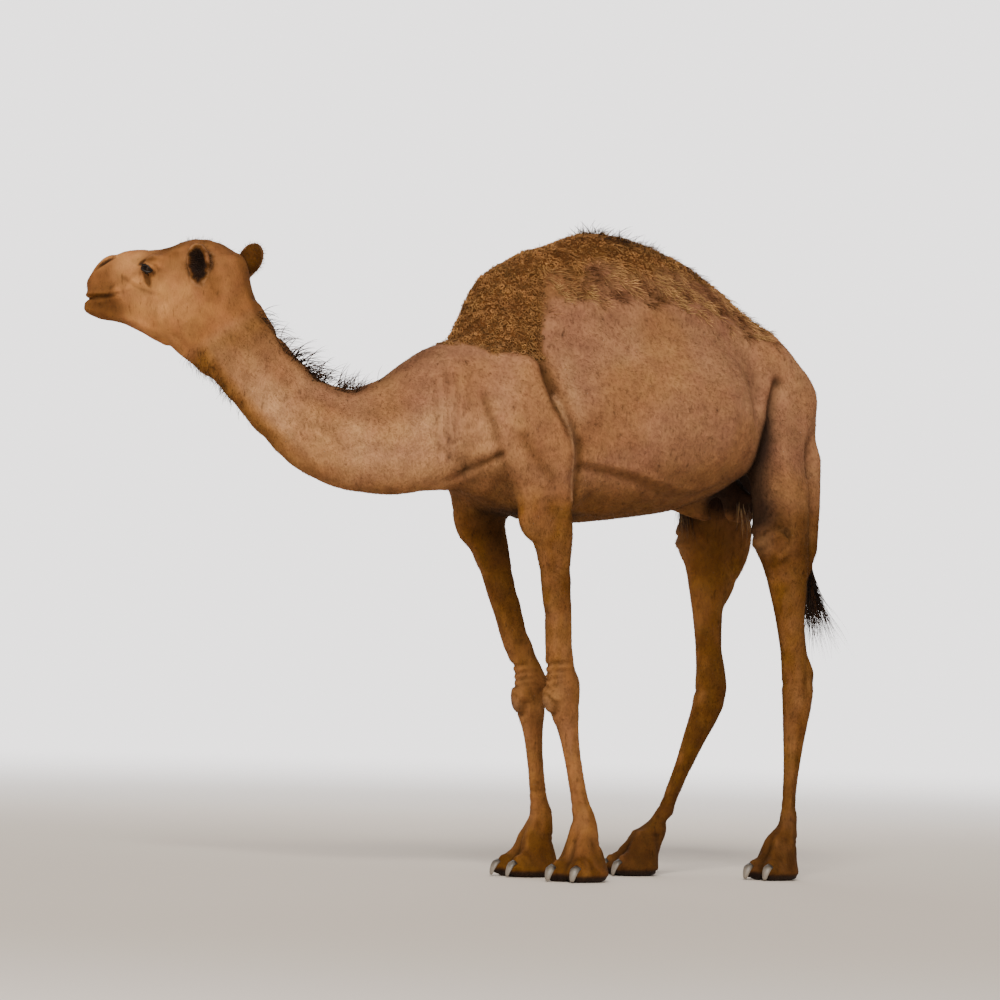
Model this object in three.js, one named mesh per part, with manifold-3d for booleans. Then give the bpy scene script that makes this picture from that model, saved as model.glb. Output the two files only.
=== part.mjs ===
// A standing one-humped camel, life size, as a still museum model.
// Millimetres, +Z up, the camel looks towards -X and its left side is -Y.
//
// The flesh is one smooth field: a sum of named tapering limbs and ellipsoids that flow into each other.
// The field is meshed region by region, and thin flat cuts part it into the named pieces.
// Eyes, ears, nails, tail, sheath and breast pad are lofted shapes of their own that sit in sockets.
import * as THREE from "three";
import { mergeVertices } from "three/addons/utils/BufferGeometryUtils.js";
import Module from "manifold-3d";

const wasm = await Module();
wasm.setup();

// ---------------------------------------------------------------- driving dimensions
// Where the row's origin, under the middle of the bounding box, lies in skeleton coordinates.
const ORIGIN = [147, 228];
const GAP = 0.3; // clearance between pieces that touch
const DEG = Math.PI / 180;

const HEAD_AT = [-827, 369]; // where the head's own axis starts, above the throat
const HEAD_YAW = 58 * DEG; // how far the head is turned to the camel's right
const EYE_RADIUS = 21;
const EYE_AT = { forward: 242, side: 79, up: 1926 };
const EAR_LENGTH = 122;
const EAR_WIDTH = 36; // half width across the cup
const EAR_WALL = 7;
const EAR_SUNK = 18; // how deep its root is set in the head
const EAR_BEND = 6; // how far its middle bows back

const LEFT = -1;
const RIGHT = 1;
const SIDES = { left: LEFT, right: RIGHT };

// Joint centres of each leg.
const FORE = {
  left: {
    shoulder: [-80, -150, 1400],
    elbow: [75, -178, 1210],
    knee: [178, -120, 618],
    fetlock: [268, -134, 185],
  },
  right: {
    shoulder: [-105, 150, 1400],
    elbow: [35, 178, 1210],
    knee: [222, 120, 612],
    fetlock: [288, 134, 185],
  },
};
const HIND = {
  left: {
    hip: [1020, -130, 1590],
    stifle: [996, -205, 1150],
    hock: [1116, -165, 625],
    fetlock: [1085, -165, 172],
  },
  right: {
    hip: [1010, 130, 1590],
    stifle: [992, 203, 1150],
    hock: [996, 155, 592],
    fetlock: [785, 141, 172],
  },
};
// The broad soft feet: the middle of the sole, how far the toes turn out, and half sizes.
const FEET = {
  fore_left: { middle: [247, -148], toeOut: -20, long: 104, wide: 97 },
  fore_right: { middle: [250, 141], toeOut: 2, long: 104, wide: 97 },
  hind_left: { middle: [1030, -170], toeOut: -14, long: 94, wide: 82 },
  hind_right: { middle: [676, 141], toeOut: 4, long: 94, wide: 82 },
};

// ---------------------------------------------------------------- vectors
const add = (a, b) => a.map((x, i) => x + b[i]);
const sub = (a, b) => a.map((x, i) => x - b[i]);
const times = (a, k) => a.map((x) => x * k);
const dot = (a, b) => a[0] * b[0] + a[1] * b[1] + a[2] * b[2];
const cross = (a, b) => [a[1] * b[2] - a[2] * b[1], a[2] * b[0] - a[0] * b[2], a[0] * b[1] - a[1] * b[0]];
const unit = (a) => times(a, 1 / Math.hypot(...a));
const mix = (a, b, t) => a.map((x, i) => x + (b[i] - x) * t);
const UP = [0, 0, 1];

// The head's own directions, and a point given as forward, to the camel's right, and height.
const HEAD_FORWARD = [-Math.cos(HEAD_YAW), Math.sin(HEAD_YAW), 0];
const HEAD_SIDE = [Math.sin(HEAD_YAW), Math.cos(HEAD_YAW), 0];
const onHead = (forward, side, up) =>
  add(add([HEAD_AT[0], HEAD_AT[1], up], times(HEAD_FORWARD, forward)), times(HEAD_SIDE, side));

// ---------------------------------------------------------------- the smooth field
// Distance to an ellipse-like shape: offsets u, v, h against half sizes a, b, c.
function roundDistance(u, v, h, a, b, c) {
  const q = Math.hypot(u / a, v / b, h / c);
  const slope = Math.hypot(u / (a * a), v / (b * b), h / (c * c));
  return slope < 1e-9 ? -Math.min(a, b, c) : (q * (q - 1)) / slope;
}

// A point between stations on a smooth line through all of them, for every number that a station holds.
function throughStations(rows, steps) {
  const out = [];
  const pick = (i) => rows[Math.min(Math.max(i, 0), rows.length - 1)];
  for (let i = 0; i < rows.length - 1; i++) {
    for (let k = 0; k < steps; k++) {
      const t = k / steps;
      const [p0, p1, p2, p3] = [pick(i - 1), pick(i), pick(i + 1), pick(i + 2)];
      out.push(
        p1.map(
          (_, j) =>
            0.5 *
            (2 * p1[j] +
              (p2[j] - p0[j]) * t +
              (2 * p0[j] - 5 * p1[j] + 4 * p2[j] - p3[j]) * t * t +
              (3 * p1[j] - p0[j] - 3 * p2[j] + p3[j]) * t * t * t),
        ),
      );
    }
  }
  out.push(rows[rows.length - 1]);
  return out;
}

// A limb: a tapering form along a line of stations { at, up, down, wide }.
// up and down are the half sizes of a section towards the limb's own up and down, or front and back on a leg.
// wide is its half width, and cap rounds its ends.
function limb(stations, { side = null, cap = null, steps = 4 } = {}) {
  const rows = throughStations(
    stations.map((s) => [...s.at, s.up, s.down ?? s.up, s.wide]),
    steps,
  );
  const points = rows.map((r) => r.slice(0, 3));
  const frames = points.map((_, i) => {
    const along = unit(sub(points[Math.min(i + 1, points.length - 1)], points[Math.max(i - 1, 0)]));
    const across = side ? unit(sub(side, times(along, dot(side, along)))) : unit(cross(UP, along));
    return { along, across, up: cross(along, across) };
  });
  const reach = Math.max(...rows.map((r) => Math.max(r[3], r[4], r[5])));
  return (p) => {
    let best = Infinity;
    let found = 0;
    let at = 0;
    for (let i = 0; i < points.length - 1; i++) {
      const a = points[i];
      const b = points[i + 1];
      const ab = sub(b, a);
      const t = Math.min(Math.max(dot(sub(p, a), ab) / dot(ab, ab), 0), 1);
      const d = Math.hypot(p[0] - a[0] - ab[0] * t, p[1] - a[1] - ab[1] * t, p[2] - a[2] - ab[2] * t);
      if (d < best) {
        best = d;
        found = i;
        at = t;
      }
    }
    if (best > reach * 3) return best - reach;
    const w = sub(p, mix(points[found], points[found + 1], at));
    const [, , , up, down, wide] = mix(rows[found], rows[found + 1], at);
    const f = frames[found];
    const g = frames[found + 1];
    const u = dot(w, f.up) * (1 - at) + dot(w, g.up) * at;
    const v = dot(w, f.across) * (1 - at) + dot(w, g.across) * at;
    const h = dot(w, f.along) * (1 - at) + dot(w, g.along) * at;
    const deep = u > 0 ? up : down;
    return roundDistance(u, v, h, deep, wide, cap ?? Math.min(deep, wide));
  };
}

// An ellipsoid with half sizes [along, across, up], its first axis along `along`.
function ellipsoid(at, radii, along = [1, 0, 0], up = UP) {
  const f = unit(along);
  const s = unit(cross(up, f));
  const u = cross(f, s);
  return (p) => {
    const w = sub(p, at);
    return roundDistance(dot(w, f), dot(w, s), dot(w, u), radii[0], radii[1], radii[2]);
  };
}

// Two distances joined, with a smooth hollow of about `soft` millimetres where they meet.
function soften(a, b, soft) {
  const h = Math.max(soft - Math.abs(a - b), 0) / soft;
  return Math.min(a, b) - (h * h * soft) / 4;
}
const joined = (soft, ...fields) => (p) => fields.reduce((d, field) => soften(d, field(p), soft), 1e6);
const carved = (soft, field, tool) => (p) => -soften(-field(p), tool(p), soft);
const onBothSides = (make) => [make(LEFT), make(RIGHT)];

// ---------------------------------------------------------------- trunk and hump
const along = (x, z, up, down, wide) => ({ at: [x, 0, z], up, down, wide });
const barrel = limb(
  [
    along(-150, 1440, 165, 185, 135),
    along(-60, 1440, 235, 215, 185),
    along(80, 1450, 285, 268, 228),
    along(250, 1460, 330, 306, 282),
    along(420, 1475, 350, 305, 332),
    along(600, 1505, 345, 305, 352),
    along(720, 1535, 320, 292, 342),
    along(810, 1560, 290, 262, 296),
    along(870, 1580, 260, 225, 225),
    along(915, 1590, 225, 190, 160),
  ],
  { cap: 60 },
);
const pelvis = limb(
  [
    along(760, 1690, 175, 120, 150),
    along(900, 1680, 185, 150, 165),
    along(1020, 1640, 180, 180, 175),
    along(1130, 1570, 145, 180, 145),
  ],
  { cap: 85 },
);
const hump = limb(
  [
    along(-65, 1710, 215, 200, 120),
    along(40, 1745, 286, 200, 160),
    along(190, 1765, 322, 200, 195),
    along(370, 1790, 350, 200, 215),
    along(570, 1780, 312, 200, 215),
    along(770, 1735, 262, 200, 190),
    along(940, 1690, 200, 180, 150),
  ],
  { cap: 110 },
);
const groin = ellipsoid([985, 0, 1235], [72, 70, 122]);
const breastbone = ellipsoid([120, 0, 1235], [210, 95, 72]);

// Muscles and bones that show through the skin of the trunk, on both sides.
const shoulderBlade = (s) =>
  limb(
    [
      { at: [40, s * 128, 1690], up: 85, wide: 50 },
      { at: [-40, s * 175, 1540], up: 92, wide: 50 },
      { at: [-110, s * 172, 1400], up: 85, wide: 62 },
    ],
    { side: [0, -1, 0] },
  );
const upperArm = (s) => ellipsoid([55, s * 205, 1370], [115, 62, 150], [1, 0, 0.25]);
const hipBone = (s) => ellipsoid([975, s * 128, 1725], [115, 72, 68], [1, 0, -0.4]);
const rump = (s) => ellipsoid([1105, s * 105, 1560], [92, 85, 140], [1, 0, -0.3]);

// ---------------------------------------------------------------- neck
const neck = limb(
  [
    { at: [-40, 0, 1530], up: 240, down: 270, wide: 180 },
    { at: [-204, 0, 1486], up: 236, down: 236, wide: 152 },
    { at: [-357, 27, 1421], up: 204, down: 204, wide: 118 },
    { at: [-483, 73, 1397], up: 180, down: 182, wide: 97 },
    { at: [-596, 138, 1418], up: 156, down: 158, wide: 87 },
    { at: [-681, 204, 1492], up: 138, down: 138, wide: 79 },
    { at: [-748, 269, 1593], up: 131, down: 140, wide: 76 },
    { at: [-797, 328, 1688], up: 130, down: 150, wide: 76 },
    { at: [-832, 372, 1780], up: 125, down: 150, wide: 78 },
    { at: [-858, 412, 1865], up: 105, down: 110, wide: 76 },
  ],
  { steps: 3 },
);

// ---------------------------------------------------------------- head
const headStation = ([forward, height, up, down, wide]) => {
  const at = onHead(forward, 0, height);
  return { at, up, down, wide };
};
const skull = limb(
  [
    [-10, 1885, 105, 120, 78],
    [60, 1895, 125, 200, 85],
    [130, 1893, 134, 225, 88],
    [200, 1890, 116, 205, 84],
    [270, 1888, 106, 150, 70],
    [340, 1900, 97, 110, 56],
  ].map(headStation),
  { cap: 60 },
);
const muzzle = limb(
  [
    [270, 1905, 88, 80, 64],
    [345, 1915, 82, 68, 57],
    [410, 1913, 72, 64, 52],
    [448, 1900, 50, 58, 49],
    [470, 1886, 36, 46, 43],
  ].map(headStation),
  { cap: 30 },
);
const lowerJaw = limb(
  [
    [110, 1735, 80, 82, 56],
    [190, 1757, 70, 80, 58],
    [280, 1784, 50, 64, 52],
    [370, 1797, 36, 41, 46],
    [440, 1800, 31, 33, 41],
    [482, 1808, 22, 27, 34],
  ].map(headStation),
  { cap: 32 },
);
const gums = limb(
  [
    [320, 1835, 22, 24, 40],
    [400, 1838, 22, 24, 36],
    [462, 1838, 20, 22, 30],
  ].map(headStation),
  { cap: 14 },
);
const onFace = (forward, side, up, radii, tilt = 0) =>
  ellipsoid(onHead(forward, side, up), radii, add(HEAD_FORWARD, [0, 0, tilt]));
const face = (s) =>
  joined(
    18,
    onFace(150, s * 58, 1800, [82, 34, 88], -0.2), // chewing muscle
    onFace(120, s * 55, 1962, [72, 34, 46]), // temple
    onFace(232, s * 74, 1953, [50, 24, 20], -0.1), // brow
    onFace(262, s * 62, 1892, [66, 26, 22], -0.15), // cheek bone
    onFace(335, s * 44, 1842, [62, 18, 44]), // cheek
    onFace(440, s * 30, 1930, [32, 19, 20], -0.7), // nostril wing
    onFace(460, s * 20, 1872, [40, 28, 34]), // half of the split upper lip
  );
const crest = onFace(95, 0, 1988, [80, 40, 38]);
const eyeSocket = (s) => onFace(EYE_AT.forward + 2, s * 108, EYE_AT.up - 2, [28, 22, 15], -0.2);
const head = carved(
  10,
  carved(
    10,
    joined(14, joined(26, skull, joined(22, muzzle, lowerJaw), crest), gums, ...onBothSides(face)),
    eyeSocket(LEFT),
  ),
  eyeSocket(RIGHT),
);

// ---------------------------------------------------------------- legs
// Sections along a bone from one joint to the next: [share of its length, front, back, half width].
const ARM = [
  [0, 95, 100, 58],
  [0.55, 98, 100, 64],
];
const FOREARM = [
  [0, 92, 92, 64],
  [0.15, 82, 84, 58],
  [0.38, 62, 64, 46],
  [0.6, 56, 57, 41],
  [0.8, 54, 56, 42],
];
const FORE_CANNON = [
  [-0.1, 62, 60, 50],
  [0.02, 66, 62, 55],
  [0.14, 56, 56, 49],
  [0.32, 37, 38, 33],
  [0.6, 31, 32, 27],
  [0.86, 33, 36, 31],
  [1, 41, 54, 45],
];
const THIGH = [
  [0, 130, 120, 72],
  [0.42, 116, 120, 74],
  [0.75, 116, 122, 74],
];
const SHANK = [
  [0, 112, 118, 70],
  [0.24, 82, 92, 56],
  [0.48, 61, 66, 44],
  [0.74, 52, 56, 38],
  [0.94, 60, 66, 45],
];
const HIND_CANNON = [
  [0.05, 60, 64, 47],
  [0.2, 50, 54, 41],
  [0.36, 42, 42, 34],
  [0.6, 31, 32, 26],
  [0.86, 28, 30, 25],
  [1, 36, 47, 38],
];
const bone = (from, to, sections) =>
  sections.map(([share, up, down, wide]) => ({ at: mix(from, to, share), up, down, wide }));

// The joint above a foot leans down into the middle of the sole.
const pastern = (fetlock, foot) => {
  const at = mix(fetlock, [...foot.middle, 70], 0.62);
  return { at, up: 56, down: 62, wide: 58 };
};
const LEG_SIDE = [0, -1, 0];
const foreleg = (joints, foot) =>
  joined(
    22,
    limb(
      [
        ...bone(joints.shoulder, joints.elbow, ARM),
        ...bone(joints.elbow, joints.knee, FOREARM),
        ...bone(joints.knee, joints.fetlock, FORE_CANNON),
        pastern(joints.fetlock, foot),
      ],
      { side: LEG_SIDE, steps: 3 },
    ),
    ellipsoid(add(joints.knee, [-34, 0, -28]), [34, 42, 62]), // horny knee pad
    ellipsoid(add(joints.knee, [48, 0, 22]), [26, 26, 40]), // small bone behind the knee
    ellipsoid(add(joints.elbow, [62, 0, 20]), [46, 34, 62]), // point of the elbow
  );
// The muscles behind each thigh: how far back from the stifle, height, half depth, half height and slope.
const HAMS = {
  left: { back: 74, height: 1045, deep: 48, tall: 150, slope: 0.1 },
  right: { back: 112, height: 1075, deep: 76, tall: 200, slope: -0.42 },
};
const hindleg = (joints, foot, hams) =>
  joined(
    22,
    limb(
      [
        ...bone(joints.hip, joints.stifle, THIGH),
        ...bone(joints.stifle, joints.hock, SHANK),
        ...bone(joints.hock, joints.fetlock, HIND_CANNON),
        pastern(joints.fetlock, foot),
      ],
      { side: LEG_SIDE, steps: 3 },
    ),
    ellipsoid(add(joints.stifle, [-78, 0, -10]), [44, 44, 66]), // kneecap and its pad
    ellipsoid(add(joints.hock, [50, 0, 52]), [27, 23, 62], [1, 0, -0.15]), // point of the hock
    ellipsoid(
      [joints.stifle[0] + hams.back, joints.stifle[1] * 0.96, hams.height],
      [hams.deep, 46, hams.tall],
      [1, 0, hams.slope],
    ),
  );

const footForward = (foot) => [-Math.cos(foot.toeOut * DEG), Math.sin(foot.toeOut * DEG), 0];
const footSide = (foot) => cross(footForward(foot), UP);
const onFoot = (foot, forward, side, up) =>
  add(add([...foot.middle, up], times(footForward(foot), forward)), times(footSide(foot), side));
const TOE_UP = 24; // height of the toes' widest level
function footField(foot) {
  const toward = footForward(foot);
  const pad = ellipsoid(onFoot(foot, -8, 0, 24), [foot.long * 0.9, foot.wide * 0.98, 52], toward);
  const heelRadii = [foot.long * 0.6, foot.wide * 0.68, 66];
  const heel = ellipsoid(onFoot(foot, -foot.long * 0.35, 0, 62), heelRadii, toward);
  const toes = onBothSides((s) =>
    ellipsoid(
      onFoot(foot, foot.long * 0.42, s * foot.wide * 0.46, TOE_UP),
      [foot.long * 0.56, foot.wide * 0.44, 46],
      add(toward, [0, 0, -0.12]),
    ),
  );
  const toeTops = onBothSides((s) =>
    ellipsoid(
      onFoot(foot, foot.long * 0.12, s * foot.wide * 0.34, 66),
      [foot.long * 0.6, foot.wide * 0.34, 34],
      add(toward, [0, 0, -0.5]),
    ),
  );
  return joined(16, joined(22, pad, heel), ...toes, ...toeTops);
}

// ---------------------------------------------------------------- the whole form
const neckAndHead = joined(40, neck, head);
const trunk = joined(
  70,
  joined(80, joined(40, barrel, pelvis), hump),
  breastbone,
  groin,
  ...onBothSides(shoulderBlade),
  ...onBothSides(upperArm),
  ...onBothSides(hipBone),
  ...onBothSides(rump),
);
const legs = {
  fore_left: joined(26, foreleg(FORE.left, FEET.fore_left), footField(FEET.fore_left)),
  fore_right: joined(26, foreleg(FORE.right, FEET.fore_right), footField(FEET.fore_right)),
  hind_left: joined(26, hindleg(HIND.left, FEET.hind_left, HAMS.left), footField(FEET.hind_left)),
  hind_right: joined(26, hindleg(HIND.right, FEET.hind_right, HAMS.right), footField(FEET.hind_right)),
};
const body = (p) => {
  let d = soften(trunk(p), neckAndHead(p), 90);
  for (const [name, leg] of Object.entries(legs)) d = soften(d, leg(p), name.startsWith("fore") ? 52 : 32);
  return d;
};

// ---------------------------------------------------------------- meshing
const STEPS = [
  [1, 0, 0],
  [0, 1, 0],
  [0, 0, 1],
];

// Where a grid face's corners are in turn inside and outside, the surface would touch itself along an edge.
// The corner nearest to the surface then changes side.
function settleFaces(values, count, index) {
  for (let k = 0; k < count[2] - 1; k++)
    for (let j = 0; j < count[1] - 1; j++)
      for (let i = 0; i < count[0] - 1; i++)
        for (let axis = 0; axis < 3; axis++) {
          const [m, n] = [STEPS[(axis + 1) % 3], STEPS[(axis + 2) % 3]];
          const face = [
            index(i, j, k),
            index(i + m[0], j + m[1], k + m[2]),
            index(i + m[0] + n[0], j + m[1] + n[1], k + m[2] + n[2]),
            index(i + n[0], j + n[1], k + n[2]),
          ];
          const inside = face.map((f) => values[f] < 0);
          if (inside[0] !== inside[2] || inside[1] !== inside[3] || inside[0] === inside[1]) continue;
          const nearest = face.reduce((a, b) => (Math.abs(values[a]) < Math.abs(values[b]) ? a : b));
          values[nearest] = values[nearest] < 0 ? 0.01 : -0.01;
        }
}

// The surface where the field is zero, inside a box, as a closed mesh of even quads split in two.
function netOf(field, low, high, cell) {
  const count = low.map((l, i) => Math.ceil((high[i] - l) / cell[i]) + 1);
  const place = (i, j, k) => [low[0] + i * cell[0], low[1] + j * cell[1], low[2] + k * cell[2]];
  const index = (i, j, k) => (k * count[1] + j) * count[0] + i;
  const values = new Float32Array(count[0] * count[1] * count[2]);
  for (let k = 0; k < count[2]; k++)
    for (let j = 0; j < count[1]; j++)
      for (let i = 0; i < count[0]; i++) {
        const edge = [i, j, k].some((n, axis) => n === 0 || n === count[axis] - 1);
        const value = field(place(i, j, k));
        values[index(i, j, k)] = edge ? Math.max(value, 0.5) : value;
      }
  for (let pass = 0; pass < 4; pass++) settleFaces(values, count, index);
  const corners = [0, 1, 2, 3, 4, 5, 6, 7].map((c) => [c & 1, (c >> 1) & 1, c >> 2]);
  const edges = [];
  for (let a = 0; a < 8; a++) for (let bit = 1; bit < 8; bit <<= 1) if (!(a & bit)) edges.push([a, a | bit]);
  const vertexOf = new Map();
  const positions = [];
  for (let k = 0; k < count[2] - 1; k++)
    for (let j = 0; j < count[1] - 1; j++)
      for (let i = 0; i < count[0] - 1; i++) {
        const near = corners.map(([x, y, z]) => values[index(i + x, j + y, k + z)]);
        let sum = [0, 0, 0];
        let crossings = 0;
        for (const [a, b] of edges) {
          if (near[a] < 0 === near[b] < 0) continue;
          const t = near[a] / (near[a] - near[b]);
          sum = add(sum, mix(corners[a], corners[b], t));
          crossings++;
        }
        if (!crossings) continue;
        const inside = times(sum, 1 / crossings);
        const rim = [i, j, k].some((n, axis) => n === 0 || n >= count[axis] - 2);
        let p = place(i + inside[0], j + inside[1], k + inside[2]);
        for (let pass = 0; pass < 2 && !rim; pass++) {
          const d = field(p);
          const slope = [0, 1, 2].map((axis) => {
            const q = [...p];
            q[axis] += 1;
            return field(q) - d;
          });
          const steep = Math.max(dot(slope, slope), 0.2);
          const most = 0.2 * Math.min(...cell);
          const step = Math.min(Math.max(d / steep, -most), most);
          p = sub(p, times(slope, step));
        }
        vertexOf.set(index(i, j, k), positions.length / 3);
        positions.push(...p);
      }
  const triangles = [];
  for (let k = 0; k < count[2] - 1; k++)
    for (let j = 0; j < count[1] - 1; j++)
      for (let i = 0; i < count[0] - 1; i++)
        for (let axis = 0; axis < 3; axis++) {
          const s = STEPS[axis];
          const a = values[index(i, j, k)];
          const b = values[index(i + s[0], j + s[1], k + s[2])];
          if (a < 0 === b < 0) continue;
          const [m, n] = [STEPS[(axis + 1) % 3], STEPS[(axis + 2) % 3]];
          const ring = [
            [0, 0],
            [1, 0],
            [1, 1],
            [0, 1],
          ].map(([x, y]) => {
            const cellOf = [i, j, k].map((at, q) => at - m[q] * x - n[q] * y);
            return vertexOf.get(index(...cellOf));
          });
          if (a >= 0) ring.reverse();
          triangles.push(ring[0], ring[1], ring[2], ring[0], ring[2], ring[3]);
        }
  return solid(new Float32Array(positions), new Uint32Array(triangles));
}

function solid(vertProperties, triVerts) {
  return new wasm.Manifold(new wasm.Mesh({ numProp: 3, vertProperties, triVerts }));
}

// A closed three.js geometry as a solid.
function solidOf(geometry) {
  const bare = geometry.index ? geometry.toNonIndexed() : geometry.clone();
  bare.deleteAttribute("normal");
  bare.deleteAttribute("uv");
  const merged = mergeVertices(bare, 1e-4);
  return solid(new Float32Array(merged.attributes.position.array), new Uint32Array(merged.index.array));
}

// The same solid with points closer than WELD made one, and the slivers between them left out.
const WELD = 0.02;
function welded(shape) {
  const { vertProperties, triVerts } = shape.getMesh();
  const kept = [];
  const home = [];
  for (let i = 0; i < vertProperties.length; i += 3) {
    const p = Array.from(vertProperties.subarray(i, i + 3));
    const same = kept.findIndex((q) => Math.hypot(...sub(p, q)) < WELD);
    home.push(same < 0 ? kept.push(p) - 1 : same);
  }
  const triangles = [];
  for (let i = 0; i < triVerts.length; i += 3) {
    const [a, b, c] = [home[triVerts[i]], home[triVerts[i + 1]], home[triVerts[i + 2]]];
    if (a !== b && b !== c && c !== a) triangles.push(a, b, c);
  }
  return solid(new Float32Array(kept.flat()), new Uint32Array(triangles));
}

function block(low, high) {
  const size = sub(high, low);
  return solidOf(new THREE.BoxGeometry(...size).translate(...mix(low, high, 0.5)));
}

// Rings of points joined into one closed skin, each end closed at its middle.
function loft(rings) {
  const n = rings[0].length;
  const positions = rings.flat(2);
  const middle = (ring) => times(ring.reduce(add), 1 / n);
  positions.push(...middle(rings[0]), ...middle(rings[rings.length - 1]));
  const first = rings.length * n;
  const triangles = [];
  for (let r = 0; r < rings.length - 1; r++)
    for (let i = 0; i < n; i++) {
      const [a, b] = [r * n + i, r * n + ((i + 1) % n)];
      triangles.push(a, b, b + n, a, b + n, a + n);
    }
  for (let i = 0; i < n; i++) {
    const j = (i + 1) % n;
    triangles.push(first, j, i, first + 1, (rings.length - 1) * n + i, (rings.length - 1) * n + j);
  }
  const made = solid(new Float32Array(positions), new Uint32Array(triangles));
  if (made.volume() >= 0) return made;
  const turned = triangles.map((_, i) => triangles[i - (i % 3) + [0, 2, 1][i % 3]]);
  return solid(new Float32Array(positions), new Uint32Array(turned));
}

// The stretch of a leg between two heights, as level rings.
// Each point is where a ray from the line through the joints leaves the field.
const AROUND = 12;
function sleeve(field, joints, top, bottom, count) {
  const chain = Object.values(joints);
  const axisAt = (z) => {
    const i = chain.findIndex((joint, n) => n > 0 && joint[2] <= z);
    const n = i < 0 ? chain.length - 1 : i;
    return mix(chain[n - 1], chain[n], (z - chain[n - 1][2]) / (chain[n][2] - chain[n - 1][2]));
  };
  const rings = Array.from({ length: count }, (_, r) => {
    const z = top - GAP / 2 + ((bottom - top + GAP) * r) / (count - 1);
    const middle = axisAt(z);
    return Array.from({ length: AROUND }, (_, i) => {
      const a = (i / AROUND) * 2 * Math.PI;
      const at = (reach) => [middle[0] + reach * Math.cos(a), middle[1] + reach * Math.sin(a), z];
      let near = 0;
      while (field(at(near + 6)) < 0) near += 6;
      let far = near + 6;
      for (let pass = 0; pass < 8; pass++) {
        const half = (near + far) / 2;
        if (field(at(half)) < 0) near = half;
        else far = half;
      }
      return at(near);
    });
  });
  return loft(rings);
}

// A ring of `count` points round a middle, with half sizes towards two directions.
function ring(middle, right, up, wide, high, count) {
  return Array.from({ length: count }, (_, i) => {
    const a = (i / count) * 2 * Math.PI;
    return add(middle, add(times(right, wide * Math.cos(a)), times(up, high * Math.sin(a))));
  });
}

// The same line of points with its two ends moved outwards.
function endsMoved(points, reach) {
  const last = points.length - 1;
  const out = [...points];
  out[0] = add(points[0], times(unit(sub(points[0], points[1])), reach));
  out[last] = add(points[last], times(unit(sub(points[last], points[last - 1])), reach));
  return out;
}

// ---------------------------------------------------------------- appendages
const ball = (at, radius) => solidOf(new THREE.IcosahedronGeometry(radius, 1).translate(...at));
const eye = (s, grow) => ball(onHead(EYE_AT.forward, s * EYE_AT.side, EYE_AT.up), EYE_RADIUS + grow);

// A cupped ear: `axis` runs to its tip, `open` is the way that the cup faces.
// Each ring goes up the outside of the cup and back along its inside.
const EAR_RINGS = 7;
const EAR_STEPS = 7;
function ear(root, axisWay, openWay, grow) {
  const axis = unit(axisWay);
  const open = unit(sub(openWay, times(axis, dot(openWay, axis))));
  const right = cross(axis, open);
  const wall = EAR_WALL + 2 * grow;
  const rings = [];
  for (let r = 0; r < EAR_RINGS; r++) {
    const t = r / (EAR_RINGS - 1);
    const swell = 0.34 + 0.66 * Math.sin(Math.PI * Math.min(0.5, 0.12 + 0.62 * t));
    const wide = EAR_WIDTH * swell * Math.sqrt(1.02 - t ** 5) + grow;
    const bare = (118 - 70 * t) * DEG; // half the angle that the cup wraps round
    const radius = wide / Math.sin(Math.min(bare, 88 * DEG));
    const curl = bare + (2 * grow) / radius;
    const upAxis = times(axis, (EAR_LENGTH + 2 * grow) * t - EAR_SUNK - grow);
    const middle = add(root, add(upAxis, times(open, -EAR_BEND * Math.sin(Math.PI * t))));
    const onCup = (a, shrink) => {
      const reach = radius - shrink;
      const ahead = radius * 0.35 - reach * Math.cos(a);
      return add(middle, add(times(right, reach * Math.sin(a)), times(open, ahead)));
    };
    const turns = Array.from({ length: EAR_STEPS }, (_, i) => -curl + (2 * curl * i) / (EAR_STEPS - 1));
    const outside = turns.map((a) => onCup(a, 0));
    const inside = turns.map((a) => onCup(-a * 0.97, wall));
    rings.push([...outside, ...inside]);
  }
  return loft(rings);
}
const EARS = {
  left: { root: onHead(60, -74, 1904), axis: [-8, -42, 110], open: [-25, -140, 0] },
  right: { root: onHead(-26, 72, 1928), axis: [-26, 50, 110], open: [60, 130, 0] },
};
const headWay = ([forward, side, up]) => {
  const level = add(times(HEAD_FORWARD, forward), times(HEAD_SIDE, side));
  return add(level, times(UP, up));
};
const earOf = (name, grow) => {
  const { root, axis, open } = EARS[name];
  return ear(root, headWay(axis), headWay(open), grow);
};

// A nail: a blunt half cone on the front of a toe.
function nail(foot, s, grow) {
  const at = onFoot(foot, foot.long * 0.9, s * foot.wide * 0.47, 25);
  const geometry = new THREE.SphereGeometry(1, 8, 5).scale(25 + grow, 17 + grow, 17 + grow);
  geometry.rotateY(22 * DEG).rotateZ(Math.PI - foot.toeOut * DEG + s * 4 * DEG).translate(...at);
  return solidOf(geometry);
}

// Stations of the tail and of its tuft: x, y, z, half depth and half width.
const TAIL = [
  [1205, 0, 1600, 42, 44],
  [1262, 4, 1520, 34, 36],
  [1290, 10, 1400, 26, 28],
  [1300, 18, 1250, 21, 22],
  [1306, 24, 1110, 17, 18],
  [1318, 28, 970, 15, 16],
];
const TUFT = [
  [1318, 28, 969.5, 15, 16],
  [1331, 30, 940, 30, 24],
  [1348, 31, 872, 46, 30],
  [1366, 32, 805, 44, 26],
  [1384, 32, 745, 28, 16],
  [1395, 32, 705, 10, 7],
];
const hanging = (rows, grow, count) => {
  const middles = endsMoved(rows.map((row) => row.slice(0, 3)), grow);
  const rings = rows.map(([, , , deep, wide], i) =>
    ring(middles[i], [1, 0, 0.3], [0, 1, 0], deep + grow, wide + grow, count),
  );
  return loft(rings);
};

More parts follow.
